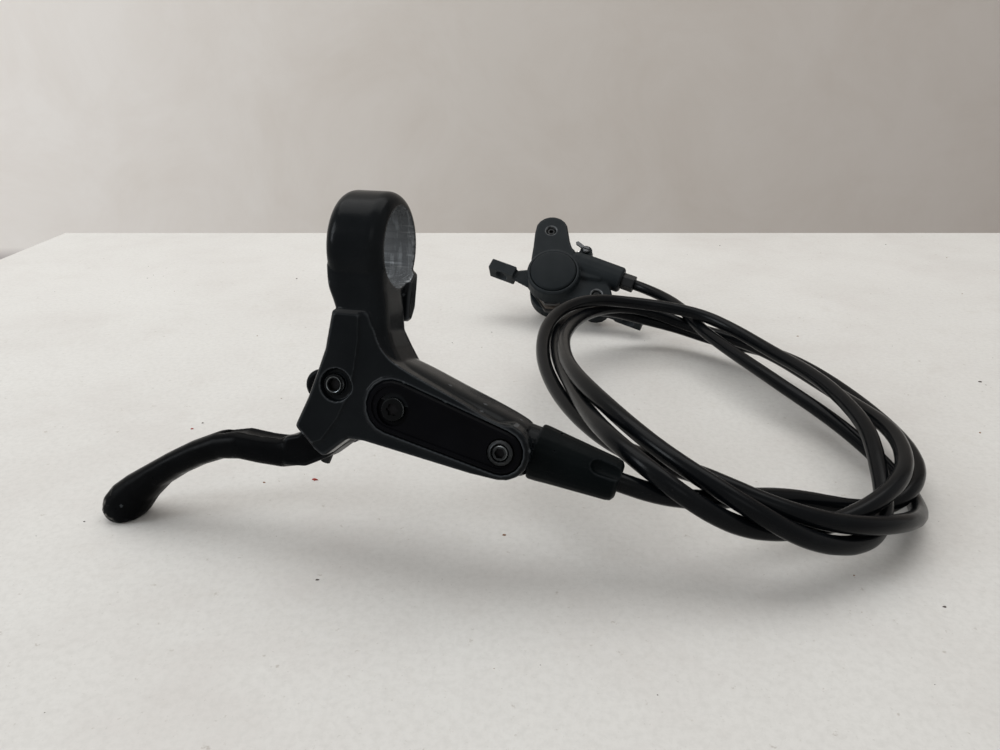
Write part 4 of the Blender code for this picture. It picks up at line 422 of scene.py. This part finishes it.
def lathe(name, profile, origin, axis, steps=96):
    """A turned closed body: radius and distance pairs round an axis, both ends on the axis."""
    made = bmesh.new()
    turn = Vector(axis).to_track_quat("Z", "Y").to_matrix()
    rings = []
    for radius, along in profile:
        ring = []
        for i in range(steps):
            angle = 2 * math.pi * i / steps
            away = max(radius, 0.00001)
            point = Vector((away * math.cos(angle), away * math.sin(angle), along))
            ring.append(turn @ point + Vector(origin))
        rings.append(ring)
    skin(made, rings)
    return from_bmesh(made, name)


def corner(radius, high, rounding, count):
    """A quarter round between a flat end and a side, for a lathe's profile."""
    found = []
    for i in range(count + 1):
        angle = math.pi / 2 * i / count
        found.append((radius - rounding + rounding * math.sin(angle),
                      high - (rounding - rounding * math.cos(angle))))
    return found


def local_copy(node, place, name):
    """A free copy of a CAD node, drawn in its own part's frame."""
    data = nodes[node].data.copy()
    data.transform(place.inverted() @ nodes[node].matrix_world)
    made = bpy.data.objects.new(name, data)
    bpy.context.scene.collection.objects.link(made)
    return made


def baked(made):
    """Turns an object's modifiers into its mesh."""
    tools = bpy.context.evaluated_depsgraph_get()
    data = bpy.data.meshes.new_from_object(made.evaluated_get(tools))
    made.modifiers.clear()
    made.data = data


def joined(first, others):
    """One mesh out of several."""
    made = bmesh.new()
    for piece in [first] + others:
        made.from_mesh(piece.data)
    made.to_mesh(first.data)
    made.free()
    for piece in others:
        bpy.data.objects.remove(piece)
    return first


def dressed(node, place, name, finish, voxel, rounds, extra=(), holes=(), body="body"):
    """A casting's look: the CAD form with its parts run into each other and its edges rounded."""
    made = joined(local_copy(node, place, name), list(extra))
    even = made.modifiers.new("even", "REMESH")
    even.mode = "VOXEL"
    even.voxel_size = voxel * 1.0
    baked(made)
    for hole in holes:
        cut = made.modifiers.new("hole", "BOOLEAN")
        cut.operation = "DIFFERENCE"
        cut.solver = "EXACT"
        cut.object = hole
        baked(made)
    soft = made.modifiers.new("soft", "SMOOTH")
    soft.iterations = rounds
    soft.factor = 0.5
    baked(made)
    for hole in holes:
        bpy.data.objects.remove(hole)
    shown(made, place, finish, body)
    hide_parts(node)
    return made


def shown(made, place, finish, body="body"):
    """Places a piece, gives it its finish and lets it ride."""
    made.data.transform(place)
    made.data.materials.clear()
    made.data.materials.append(finish)
    for face in made.data.polygons:
        face.use_smooth = True
    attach(made, body)
    return made


def painted_edge_highlight(made, amount, low=0.510, high=0.560, color=(0.050, 0.055, 0.060)):
    """Paints a highlight on the outer edges of a dense mesh: their colour turns a little lighter."""
    tree = made.node_tree
    shader = tree.nodes["Principled BSDF"]
    shape = tree.nodes.new("ShaderNodeNewGeometry")
    edge = mask(tree, shape.outputs["Pointiness"], low, high)
    part = maths(tree, "MULTIPLY", edge, amount)
    base = shader.inputs["Base Color"].links[0].from_socket
    tree.links.new(mixed(tree, part, base, color), shader.inputs["Base Color"])


def dust(made, amount, scale=5200.0):
    """Fine pale dust grains on a dark surface."""
    tree = made.node_tree
    shader = tree.nodes["Principled BSDF"]
    grain = mask(tree, noise_node(tree, scale, 2.0), 0.72, 0.80)
    cloud = mask(tree, noise_node(tree, 60.0, 4.0), 0.42, 0.66)
    part = maths(tree, "MULTIPLY", maths(tree, "MULTIPLY", grain, cloud), amount)
    base = shader.inputs["Base Color"].links[0].from_socket
    tree.links.new(mixed(tree, part, base, (0.22, 0.21, 0.20)), shader.inputs["Base Color"])


def scratch_mask(tree, scale, stretch, low, high):
    """Thin lines along one way."""
    return mask(tree, noise_node(tree, scale, 3.0, 0.6, 0.15, stretch), low, high)


# Paints: dark and light colour, least and most roughness, grain and gloss
HOUSING = painted("housing_black", (0.0034, 0.0044, 0.0054), (0.0056, 0.0068, 0.0080), 0.17, 0.26,
                  2600.0, gloss=0.065)
COVER = painted("cover_black", (0.0010, 0.0011, 0.0017), (0.0018, 0.0019, 0.0028), 0.30, 0.40,
                3800.0, gloss=0.04)
BLADE = painted("blade_black", (0.0012, 0.0014, 0.0018), (0.0024, 0.0027, 0.0032), 0.24, 0.38,
                3000.0, gloss=0.03)
CALIPER_GREY = painted("caliper_grey", (0.0085, 0.0112, 0.0130), (0.0130, 0.0160, 0.0182), 0.42, 0.56,
                       3400.0, gloss=0.09)
CAP_GREY = painted("cap_grey", (0.0072, 0.0098, 0.0114), (0.0110, 0.0136, 0.0156), 0.40, 0.52,
                   3600.0, gloss=0.08)
HOSE_BLACK = painted("hose_black", (0.0016, 0.0021, 0.0028), (0.0032, 0.0039, 0.0048), 0.19, 0.27,
                     1500.0, gloss=0.085)
BOOT_BLACK = painted("boot_black", (0.0008, 0.0018, 0.0022), (0.0018, 0.0030, 0.0034), 0.40, 0.52,
                     4200.0, gloss=0.04)
NUT_BLACK = painted("nut_black", (0.0050, 0.0060, 0.0070), (0.0080, 0.0090, 0.0100), 0.30, 0.42,
                    3000.0, gloss=0.25)
SCREW_BLACK = painted("screw_black", (0.0020, 0.0023, 0.0026), (0.0034, 0.0038, 0.0042), 0.34, 0.46,
                      3000.0, gloss=0.05)
SEAL_BLACK = painted("seal_black", (0.010, 0.010, 0.010), (0.016, 0.016, 0.016), 0.60, 0.75, 4200.0)
LINING_BROWN = painted("lining_brown", (0.060, 0.048, 0.040), (0.115, 0.098, 0.085), 0.80, 0.95, 2400.0)
PHENOLIC = painted("phenolic", (0.40, 0.37, 0.32), (0.52, 0.49, 0.43), 0.45, 0.60, 3000.0)

# Metals: colour and roughness
STEEL = metal("steel", (0.60, 0.60, 0.58), 0.28)
PLATE_STEEL = metal("plate_steel", (0.12, 0.12, 0.12), 0.42, 600.0, (1, 6, 1))
DARK_STEEL = metal("dark_steel", (0.034, 0.036, 0.038), 0.36)
RIM_STEEL = metal("rim_steel", (0.085, 0.088, 0.092), 0.28)
# Painted highlight: a lighter metal for the rims of the screw heads
RIM_HIGHLIGHT = metal("rim_painted_highlight", (0.125, 0.135, 0.140), 0.24)
# Painted shade: a near-black metal for the walls of the screw sockets
SOCKET_SHADE = metal("socket_painted_shade", (0.012, 0.012, 0.013), 0.40)
BRASS = metal("brass", (0.60, 0.45, 0.20), 0.34)
SILVER = metal("silver", (0.58, 0.58, 0.57), 0.32, 700.0, (1, 1, 8))

# Painted highlights along the outer edges of the housing, blade, caliper and boot
for finish, amount in ((HOUSING, 0.9), (BLADE, 0.6), (CALIPER_GREY, 0.6), (BOOT_BLACK, 0.3)):
    painted_edge_highlight(finish, amount)
for finish, amount in ((HOUSING, 0.5), (BLADE, 0.5), (CALIPER_GREY, 0.6), (CAP_GREY, 0.5),
                       (HOSE_BLACK, 0.5), (COVER, 0.3), (BOOT_BLACK, 0.6)):
    dust(finish, amount)


def worn_bore(made, radius):
    """The clamp's inside: the coating rubbed thin by the bar."""
    tree = made.node_tree
    place = axes(tree, LEVER_PLACE, LEVER_TURN)
    inside = mask(tree, length_of(tree, place["Y"], place["Z"]), radius + 0.0003, radius + 0.0001)
    lines = scratch_mask(tree, 700.0, (1, 0.12, 0.12), 0.50, 0.72)
    patch = mask(tree, noise_node(tree, 330.0, 6.0, 0.7, 0.5), 0.52, 0.60)
    low = mask(tree, place["Z"], -0.0040, -0.0095)
    rubbed = maths(tree, "MULTIPLY", maths(tree, "MULTIPLY", patch, low), 0.75)
    base = maths(tree, "ADD", maths(tree, "ADD", maths(tree, "MULTIPLY", lines, 0.40), 0.26), rubbed)
    worn(made, maths(tree, "MULTIPLY", inside, base), (0.44, 0.46, 0.48), 0.40)


def worn_tip(made, far, near):
    """The blade's end: the coating rubbed off in small places."""
    tree = made.node_tree
    place = axes(tree, LEVER_PLACE, LEVER_TURN)
    shape = tree.nodes.new("ShaderNodeNewGeometry")
    end = mask(tree, place["X"], near, far)
    edge = mask(tree, shape.outputs["Pointiness"], 0.505, 0.530)
    spots = mask(tree, noise_node(tree, 520.0, 6.0, 0.7), 0.46, 0.58)
    part = maths(tree, "MULTIPLY", maths(tree, "MULTIPLY", end, edge), spots)
    worn(made, part, (0.46, 0.44, 0.41), 0.36)


def bare_rims(made, places, inner, outer):
    """Paint rubbed off in a thin rim round holes along Z."""
    tree = made.node_tree
    place = axes(tree, CALIPER_PLACE, CALIPER_TURN)
    total = None
    for x, y in places:
        across = maths(tree, "SUBTRACT", place["X"], x)
        along = maths(tree, "SUBTRACT", place["Y"], y)
        near = mask(tree, length_of(tree, across, along), outer, inner)
        total = near if total is None else maths(tree, "MAXIMUM", total, near)
    front = mask(tree, place["Z"], -0.0080, -0.0070)
    spots = mask(tree, noise_node(tree, 500.0, 4.0), 0.30, 0.55)
    part = maths(tree, "MULTIPLY", maths(tree, "MULTIPLY", total, front), spots)
    worn(made, maths(tree, "MULTIPLY", part, 0.55), (0.30, 0.31, 0.32), 0.36)


worn_bore(HOUSING, BAR_RADIUS)
bare_rims(CALIPER_GREY, BOLT_PLACES, 0.0028, 0.0036)
worn_tip(BLADE, -0.0806, -0.0782)


def put(node, finish):
    """Gives a CAD node a finish."""
    data = nodes[node].data
    data.materials.clear()
    data.materials.append(finish)


FINISHES = {
    DARK_STEEL: ("clamp_bolt", "screw_collar", "cover_screw_inner", "cover_screw_outer", "pivot_bolt",
                 "lever_hose_nut"),
    NUT_BLACK: ("caliper_hose_nut", "reach_screw", "body_bolt_tongue", "body_bolt_lug"),
    STEEL: ("pushrod", "piston_retaining_ring", "return_spring", "bleed_nipple", "pad_spring"),
    RIM_STEEL: ("pad_pin", "pin_clip"),
    PLATE_STEEL: ("outer_pad_plate", "inner_pad_plate"),
    BRASS: ("pivot_bush", "lever_olive", "caliper_olive"),
    SILVER: ("master_piston",),
    SEAL_BLACK: ("reservoir_diaphragm", "primary_seal", "secondary_seal", "bore_cap_seal", "crossover_seal",
                 "outer_piston_seal", "inner_piston_seal"),
    LINING_BROWN: ("outer_pad_lining", "inner_pad_lining"),
    PHENOLIC: ("outer_piston", "inner_piston"),
    HOUSING: ("lever_housing",), COVER: ("reservoir_cover",), BLADE: ("lever_blade",),
    BOOT_BLACK: ("hose_boot",), CAP_GREY: ("bore_cap",),
    CALIPER_GREY: ("caliper_outer_half", "caliper_inner_half"),
    HOSE_BLACK: ("hose_coil", "hose_from_lever", "hose_to_caliper"),
}
for finish, names in FINISHES.items():
    for name in names:
        put(name, finish)


def clamp_ring():
    """The clamp ring's outside, finely turned."""
    half = CLAMP_WIDTH / 2
    high = corner(RING_RADIUS, half, CLAMP_ROUNDING, 10)
    low = [(radius, -along) for radius, along in reversed(high)]
    profile = [(0.0, half)] + high + low + [(0.0, -half)]
    return lathe("clamp_fine", profile, (CLAMP_MIDDLE_X, 0.0, 0.0), (1, 0, 0))


def neck():
    """The neck from the clamp down to the fork, in smooth rows."""
    made = bmesh.new()
    rings = []
    for z, left, right, near, far in finer(NECK_ROWS, ROW_STEPS):
        if z > FORK_TOP:
            middle = ((left + right) / 2, (near + far) / 2, z)
            rings.append(ring_points(middle, (1, 0, 0), (0, 1, 0), (right - left) / 2,
                                     (far - near) / 2, 6.0, RING_COUNT))
    skin(made, rings)
    return from_bmesh(made, "neck_fine")


def barrel():
    """The barrel, a hair thicker than the CAD form that it covers."""
    made = bmesh.new()
    rings = []
    for x, top, foot, near, far in finer(BARREL_ROWS, ROW_STEPS):
        middle = (x, (near + far) / 2, (top + foot) / 2)
        rings.append(ring_points(middle, (0, 1, 0), (0, 0, 1), (far - near) / 2 + BARREL_COVER,
                                 (top - foot) / 2 + BARREL_COVER, 3.4, RING_COUNT))
    skin(made, rings)
    return from_bmesh(made, "barrel_fine")


def sweep():
    """The curve that the front plate's upper edge makes from the neck to the barrel."""
    made = bmesh.new()
    outline = finer(SWEEP, ROW_STEPS) + SWEEP_FOOT
    skin(made, [[Vector((x, y, z)) for x, z in outline] for y in (PLATE_FRONT, PLATE_BACK)])
    return from_bmesh(made, "sweep_fine")


def bores():
    """Cutters for the clamp's bore, the master bore and the hose port."""
    bar = lathe("bore_fine", [(0.0, -0.02), (BAR_RADIUS, -0.02), (BAR_RADIUS, 0.02), (0.0, 0.02)],
                (0.0, 0.0, 0.0), (1, 0, 0), 128)
    wall = [(MASTER_RADIUS, 0.0010 * along) for along in range(-1, 45)]
    master = lathe("master_fine", [(0.0, -0.0010)] + wall + [(0.0, MASTER_END)], MASTER_PLACE, MASTER_WAY)
    sides = [(PORT_RADIUS, -0.0060), (PORT_RADIUS, 0.0300)]
    port = lathe("port_fine", [(0.0, -0.0060)] + sides + [(0.0, 0.0300)], PORT_PLACE, PORT_WAY)
    return [bar, master, port]


def slab(name, low, high):
    """A closed box between two corners."""
    made = bmesh.new()
    bmesh.ops.create_cube(made, size=1.0)
    for vert in made.verts:
        for k in range(3):
            vert.co[k] = low[k] if vert.co[k] < 0 else high[k]
    return from_bmesh(made, name)


def ear_slot(name, x):
    """A cutter for an ear's slot."""
    outline = []
    for degrees in range(0, 360, 10):
        angle = math.radians(degrees)
        shift = EAR_SLOT_HALF if degrees <= 180 else -EAR_SLOT_HALF
        outline.append((x + EAR_SLOT_RADIUS * math.cos(angle),
                        EAR_SLOT_Z + EAR_SLOT_RADIUS * math.sin(angle) + shift))
    made = bmesh.new()
    skin(made, [[Vector((px, y, pz)) for px, pz in outline] for y in (-0.012, 0.002)])
    return from_bmesh(made, "slot_" + name)


def dress_caliper():
    """Both halves, the ears a little fuller so that their edges can round, and the cap."""
    ears = []
    slots = []
    for name, x in (("left", EAR_MIDDLE_X - EAR_SPACING / 2), ("right", EAR_MIDDLE_X + EAR_SPACING / 2)):
        ears.append(slab("ear_" + name, (x - EAR_HALF_WIDTH, -0.0082, -0.0158),
                         (x + EAR_HALF_WIDTH, -0.0022, -0.0060)))
        slots.append(ear_slot(name, x))
    dressed("caliper_outer_half", CALIPER, "caliper_front_casting", CALIPER_GREY, VOXEL, 6, ears, slots)
    dressed("caliper_inner_half", CALIPER, "caliper_back_casting", CALIPER_GREY, VOXEL, 8)
    cap = lathe("cap_fine", CAP_PROFILE, (0, 0, 0), (0, 0, 1), 128)
    shown(cap, CALIPER, CAP_GREY)
    for face in cap.data.polygons:
        face.use_smooth = len(face.vertices) == 4
    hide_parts("bore_cap")


def prism(name, outline, low, high, origin, axis):
    """A closed prism drawn on an axis, for cutting a socket."""
    made = bmesh.new()
    turn = Vector(axis).to_track_quat("Z", "Y").to_matrix()
    skin(made, [[turn @ Vector((x, y, along)) + Vector(origin) for x, y in outline]
                for along in (low, high)])
    return from_bmesh(made, name)


def polygon(across, count=6):
    """A regular outline of a width across its flats."""
    radius = across / 2 / math.cos(math.pi / count)
    return [(radius * math.cos(2 * math.pi * i / count), radius * math.sin(2 * math.pi * i / count))
            for i in range(count)]


def star(radius, depth, count=6, steps=10):
    """A six-lobed outline."""
    found = []
    for i in range(count * steps):
        angle = 2 * math.pi * i / (count * steps)
        away = radius + depth * math.cos(count * angle)
        found.append((away * math.cos(angle), away * math.sin(angle)))
    return found


def screw(node, name, finish, origin, axis, profile, bright, socket, depth, top):
    """A turned screw whose chosen rim rows get a lighter metal as a painted highlight, with a cut socket
    whose walls get a near-black metal as painted shade.
    """
    made = lathe(name, profile, origin, axis, SCREW_STEPS)
    for look in (finish, RIM_HIGHLIGHT, SOCKET_SHADE):
        made.data.materials.append(look)
    sides = SCREW_STEPS * (len(profile) - 1)
    for face in made.data.polygons:
        face.use_smooth = False
        if face.index < sides and face.index // SCREW_STEPS in bright:
            face.material_index = 1
    tool = prism(name + "_socket", socket, top - depth, top + 0.002, origin, axis)
    tool.data.materials.append(SOCKET_SHADE)
    cut = made.modifiers.new("hole", "BOOLEAN")
    cut.operation = "DIFFERENCE"
    cut.solver = "EXACT"
    cut.object = tool
    cut.material_mode = "TRANSFER"
    baked(made)
    bpy.data.objects.remove(tool)
    made.data.transform(LEVER)
    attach(made, "body")
    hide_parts(node)


def dress_screws():
    """The three screws seen in the lever's face."""
    back = Vector((0.0, -1.0, 0.0))
    shank = 0.0024
    screw("pivot_bolt", "pivot_screw", SCREW_BLACK, PIVOT, back,
          [(0.0, -0.0092), (shank, -0.0092), (shank, 0.0121), (0.0030, 0.0121), (0.0030, 0.0130),
           (0.0028, 0.0133), (0.0022, 0.0134), (0.0020, 0.0133), (0.0, 0.0133)],
          (4, 6), polygon(0.0031), 0.0012, 0.0134)
    screw("cover_screw_outer", "cover_star_screw", SCREW_BLACK, (0.01445, COVER_FACE, -0.0436), back,
          [(0.0, -0.0072), (0.0014, -0.0072), (0.0014, -0.0011), (0.0033, -0.0011), (0.0033, -0.0004),
           (0.0031, -0.0001), (0.0028, 0.0), (0.0, 0.0)],
          (4,), star(0.00155, 0.00022), 0.0007, 0.0)
    screw("cover_screw_inner", "cover_hex_screw", DARK_STEEL, (0.0450, COVER_FACE, -0.0515), back,
          [(0.0, -0.0072), (0.0014, -0.0072), (0.0014, -0.0011), (0.0021, -0.0011), (0.0021, 0.0003),
           (0.0018, 0.0006), (0.0, 0.0006)],
          (4,), polygon(0.0025), 0.0012, 0.0006)


def make_hose():
    """The hose as one free length, from the lever's nut to the caliper's nut."""
    data = bpy.data.curves.new("hose", "CURVE")
    data.dimensions = "3D"
    data.bevel_depth = HOSE_DIAMETER / 2
    data.bevel_resolution = 5
    data.resolution_u = 4
    data.use_fill_caps = True
    line = data.splines.new("BEZIER")
    line.bezier_points.add(len(HOSE_WAY) - 1)
    for point, place in zip(line.bezier_points, HOSE_WAY):
        point.co = place
        point.handle_left_type = "AUTO"
        point.handle_right_type = "AUTO"
    data.materials.append(HOSE_BLACK)
    hose = bpy.data.objects.new("hose", data)
    bpy.context.scene.collection.objects.link(hose)
    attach(hose, "body")
    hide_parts("hose_from_lever", "hose_coil", "hose_to_caliper")


def dress_spring():
    """The return spring, a steel copy of its CAD form in its place."""
    made = local_copy("return_spring", Matrix.Identity(4), "spring_coils")
    made.data.materials.clear()
    made.data.materials.append(STEEL)
    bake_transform(made)
    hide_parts("return_spring")


dressed("lever_housing", LEVER, "housing_casting", HOUSING, VOXEL, 5,
        [clamp_ring(), neck(), barrel(), sweep()], bores())
dressed("lever_blade", LEVER, "blade_casting", BLADE, VOXEL, 16, body="blade")
dressed("hose_boot", LEVER, "boot_rubber", BOOT_BLACK, BOOT_VOXEL, 6)
dress_caliper()
dress_screws()
dress_spring()
make_hose()


def flat_piece(name, corners, finish):
    """A flat stage sheet through the given corners."""
    made = bmesh.new()
    made.faces.new([made.verts.new(place) for place in corners])
    sheet = from_bmesh(made, name)
    sheet.data.materials.append(finish)


def table_finish():
    """Pale laminate with faint stains, and painted shade that darkens it towards the near side."""
    made, tree, shader = material("table")
    cloud = noise_node(tree, 12.0, 9.0, 0.72, 0.2)
    base = ramp(tree, cloud, [(0.28, (0.585, 0.565, 0.545)), (0.50, (0.635, 0.625, 0.605)),
                              (0.75, (0.665, 0.66, 0.64))])
    smudge = mask(tree, noise_node(tree, 55.0, 9.0, 0.78, 0.3), 0.56, 0.74)
    color = mixed(tree, maths(tree, "MULTIPLY", smudge, 0.34), base, (0.50, 0.47, 0.43))
    grain = mask(tree, noise_node(tree, 480.0, 4.0, 0.7), 0.42, 0.66)
    color = mixed(tree, maths(tree, "MULTIPLY", grain, 0.30), color, (0.47, 0.46, 0.44))
    speck = mask(tree, noise_node(tree, 260.0, 4.0, 0.65), 0.66, 0.72)
    color = mixed(tree, maths(tree, "MULTIPLY", speck, 0.50), color, (0.30, 0.26, 0.22))
    fine = mask(tree, noise_node(tree, 900.0, 2.0, 0.6), 0.66, 0.76)
    color = mixed(tree, maths(tree, "MULTIPLY", fine, 0.40), color, (0.36, 0.34, 0.31))
    line = scratch_mask(tree, 40.0, (0.35, 6.0, 1.0), 0.715, 0.75)
    color = mixed(tree, maths(tree, "MULTIPLY", line, 0.25), color, (0.42, 0.40, 0.37))
    # Painted shade: the top darkens towards the near side
    near = spread(tree, axes(tree)["Y"], 0.12, 0.0, -0.25, 0.20)
    color = mixed(tree, near, color, (0.0, 0.0, 0.0))
    tree.links.new(color, shader.inputs["Base Color"])
    smear = noise_node(tree, 11.0, 6.0, 0.65, 0.3)
    tree.links.new(spread(tree, smear, 0.40, 0.58, 0.3, 0.7), shader.inputs["Roughness"])
    bump(tree, shader, noise_node(tree, 900.0, 3.0), 0.10, 0.00005)
    return made


def wall_with_painted_light():
    """A painted wall, a little stained and darker below the table's height, with painted light: lighter on
    the left, darker on the right, and glowing faintly with its own colour.
    """
    made, tree, shader = material("wall")
    cloud = noise_node(tree, 4.5, 7.0, 0.66, 0.5)
    base = ramp(tree, cloud, [(0.30, (0.93, 0.90, 0.87)), (0.60, (1.0, 0.985, 0.97))])
    # Painted light: lighter towards the left, darker towards the right
    side = ramp(tree, spread(tree, axes(tree)["X"], 0.0, 1.0, -1.2, 1.2),
                [(0.0, (0.79, 0.785, 0.775)), (0.5, (0.47, 0.450, 0.425)), (1.0, (0.36, 0.335, 0.315))])
    blend = tree.nodes.new("ShaderNodeVectorMath")
    blend.operation = "MULTIPLY"
    tree.links.new(base, blend.inputs[0])
    # Darker below the table's height
    low = mask(tree, axes(tree)["Z"], -0.185, -0.205)
    tree.links.new(mixed(tree, low, side, (0.42, 0.40, 0.40)), blend.inputs[1])
    tree.links.new(blend.outputs["Vector"], shader.inputs["Base Color"])
    # Painted light: the wall glows faintly with its own colour
    tree.links.new(blend.outputs["Vector"], shader.inputs["Emission Color"])
    shader.inputs["Emission Strength"].default_value = 0.24
    shader.inputs["Roughness"].default_value = 0.85
    bump(tree, shader, noise_node(tree, 60.0, 5.0), 0.15, 0.0008)
    return made


def room():
    """The table top with its far left corner, its edges and the wall well behind it."""
    table = table_finish()
    wall = wall_with_painted_light()
    left, right, near, far, deep = TABLE_LEFT, TABLE_RIGHT, TABLE_NEAR, TABLE_FAR, -TABLE_THICK
    flat_piece("table_top", [(left, near, 0), (right, near, 0), (right, far, 0), (left, far, 0)], table)
    flat_piece("table_left", [(left, near, deep), (left, near, 0), (left, far, 0), (left, far, deep)], table)
    flat_piece("table_back", [(left, far, deep), (left, far, 0), (right, far, 0), (right, far, deep)], table)
    side = ROOM_HALF
    flat_piece("wall", [(-side, WALL_Y, WALL_LOW), (side, WALL_Y, WALL_LOW),
                        (side, WALL_Y, WALL_HIGH), (-side, WALL_Y, WALL_HIGH)], wall)
    flat_piece("ground", [(-side, ROOM_NEAR, GROUND), (side, ROOM_NEAR, GROUND),
                          (side, WALL_Y, GROUND), (-side, WALL_Y, GROUND)], wall)


def lamp(name, place, target, size, power, color):
    """An area lamp that looks at a point."""
    data = bpy.data.lights.new(name, "AREA")
    data.shape = "RECTANGLE"
    data.size, data.size_y = size
    data.energy = power
    data.color = color
    made = bpy.data.objects.new(name, data)
    made.location = place
    way = Vector(target) - Vector(place)
    made.rotation_euler = way.to_track_quat("-Z", "Y").to_euler()
    bpy.context.scene.collection.objects.link(made)


def crumb(name, place, size, finish, seed):
    """A tiny flat chip lying on the table."""
    dice = random.Random(seed)
    made = bmesh.new()
    outline = []
    for i in range(7):
        angle = 2 * math.pi * (i + dice.uniform(-0.3, 0.3)) / 7
        away = size * dice.uniform(0.35, 1.0)
        outline.append((away * math.cos(angle) * 1.5, away * math.sin(angle)))
    rows = [[Vector((x, y, 0.0)) + Vector(place) for x, y in outline],
            [Vector((x * 0.6, y * 0.6, size * 0.5)) + Vector(place) for x, y in outline]]
    skin(made, rows)
    chip = from_bmesh(made, name)
    chip.data.materials.append(finish)


def crumbs():
    """Chips of dirt, a few in known places and the others scattered."""
    dark = painted("crumb_dark", (0.06, 0.05, 0.045), (0.12, 0.10, 0.09), 0.7, 0.9, 3000.0)
    brown = painted("crumb_brown", (0.16, 0.08, 0.04), (0.24, 0.13, 0.07), 0.7, 0.9, 3000.0)
    red = painted("crumb_red", (0.28, 0.03, 0.02), (0.40, 0.05, 0.04), 0.6, 0.8, 3000.0)
    known = (
        (0.0267, -0.1062, 0.0006, brown), (-0.0388, -0.0736, 0.0010, red),
        (-0.0259, -0.1277, 0.0005, dark), (0.2424, 0.0116, 0.0008, dark),
        (0.1444, -0.1390, 0.0006, dark), (-0.0961, -0.0349, 0.0006, red),
    )
    for i, (x, y, size, finish) in enumerate(known):
        crumb("crumb_%d" % i, (x, y, 0.0), size, finish, i)
    dice = random.Random(31)
    for i in range(170):
        place = (dice.uniform(-0.30, 0.45), dice.uniform(-0.20, 0.30), 0.0)
        size = 0.00014 + 0.00045 * dice.random() ** 3
        crumb("dirt_%d" % i, place, size, dice.choice((dark, dark, brown)), 100 + i)


def camera():
    """The camera that took the photo's view."""
    data = bpy.data.cameras.new("camera")
    data.lens = CAMERA_LENS
    data.sensor_width = CAMERA_SENSOR
    made = bpy.data.objects.new("camera", data)
    made.location = CAMERA_PLACE
    made.rotation_euler = (math.radians(90.0) - CAMERA_PITCH, 0.0, 0.0)
    bpy.context.scene.collection.objects.link(made)
    bpy.context.scene.camera = made


def daylight():
    """Even light from the whole room."""
    world = bpy.data.worlds.new("room")
    world.use_nodes = True
    background = world.node_tree.nodes["Background"]
    background.inputs["Color"].default_value = (0.9, 0.88, 0.85, 1.0)
    background.inputs["Strength"].default_value = 0.62
    bpy.context.scene.world = world


room()
crumbs()
lamp("ceiling", (0.05, 0.85, 1.65), (0.05, 0.50, 0.0), (2.6, 2.0), 37.0, (1.0, 0.995, 0.98))
lamp("window", (-1.3, -0.5, 0.75), (0.0, 0.0, 0.05), (0.45, 0.75), 8.5, (0.90, 0.955, 1.0))
lamp("front", (0.2, -1.4, 1.1), (0.0, 0.0, 0.05), (0.8, 0.6), 1.4, (0.96, 0.98, 1.0))
camera()
daylight()
bpy.context.scene.view_settings.view_transform = "Standard"
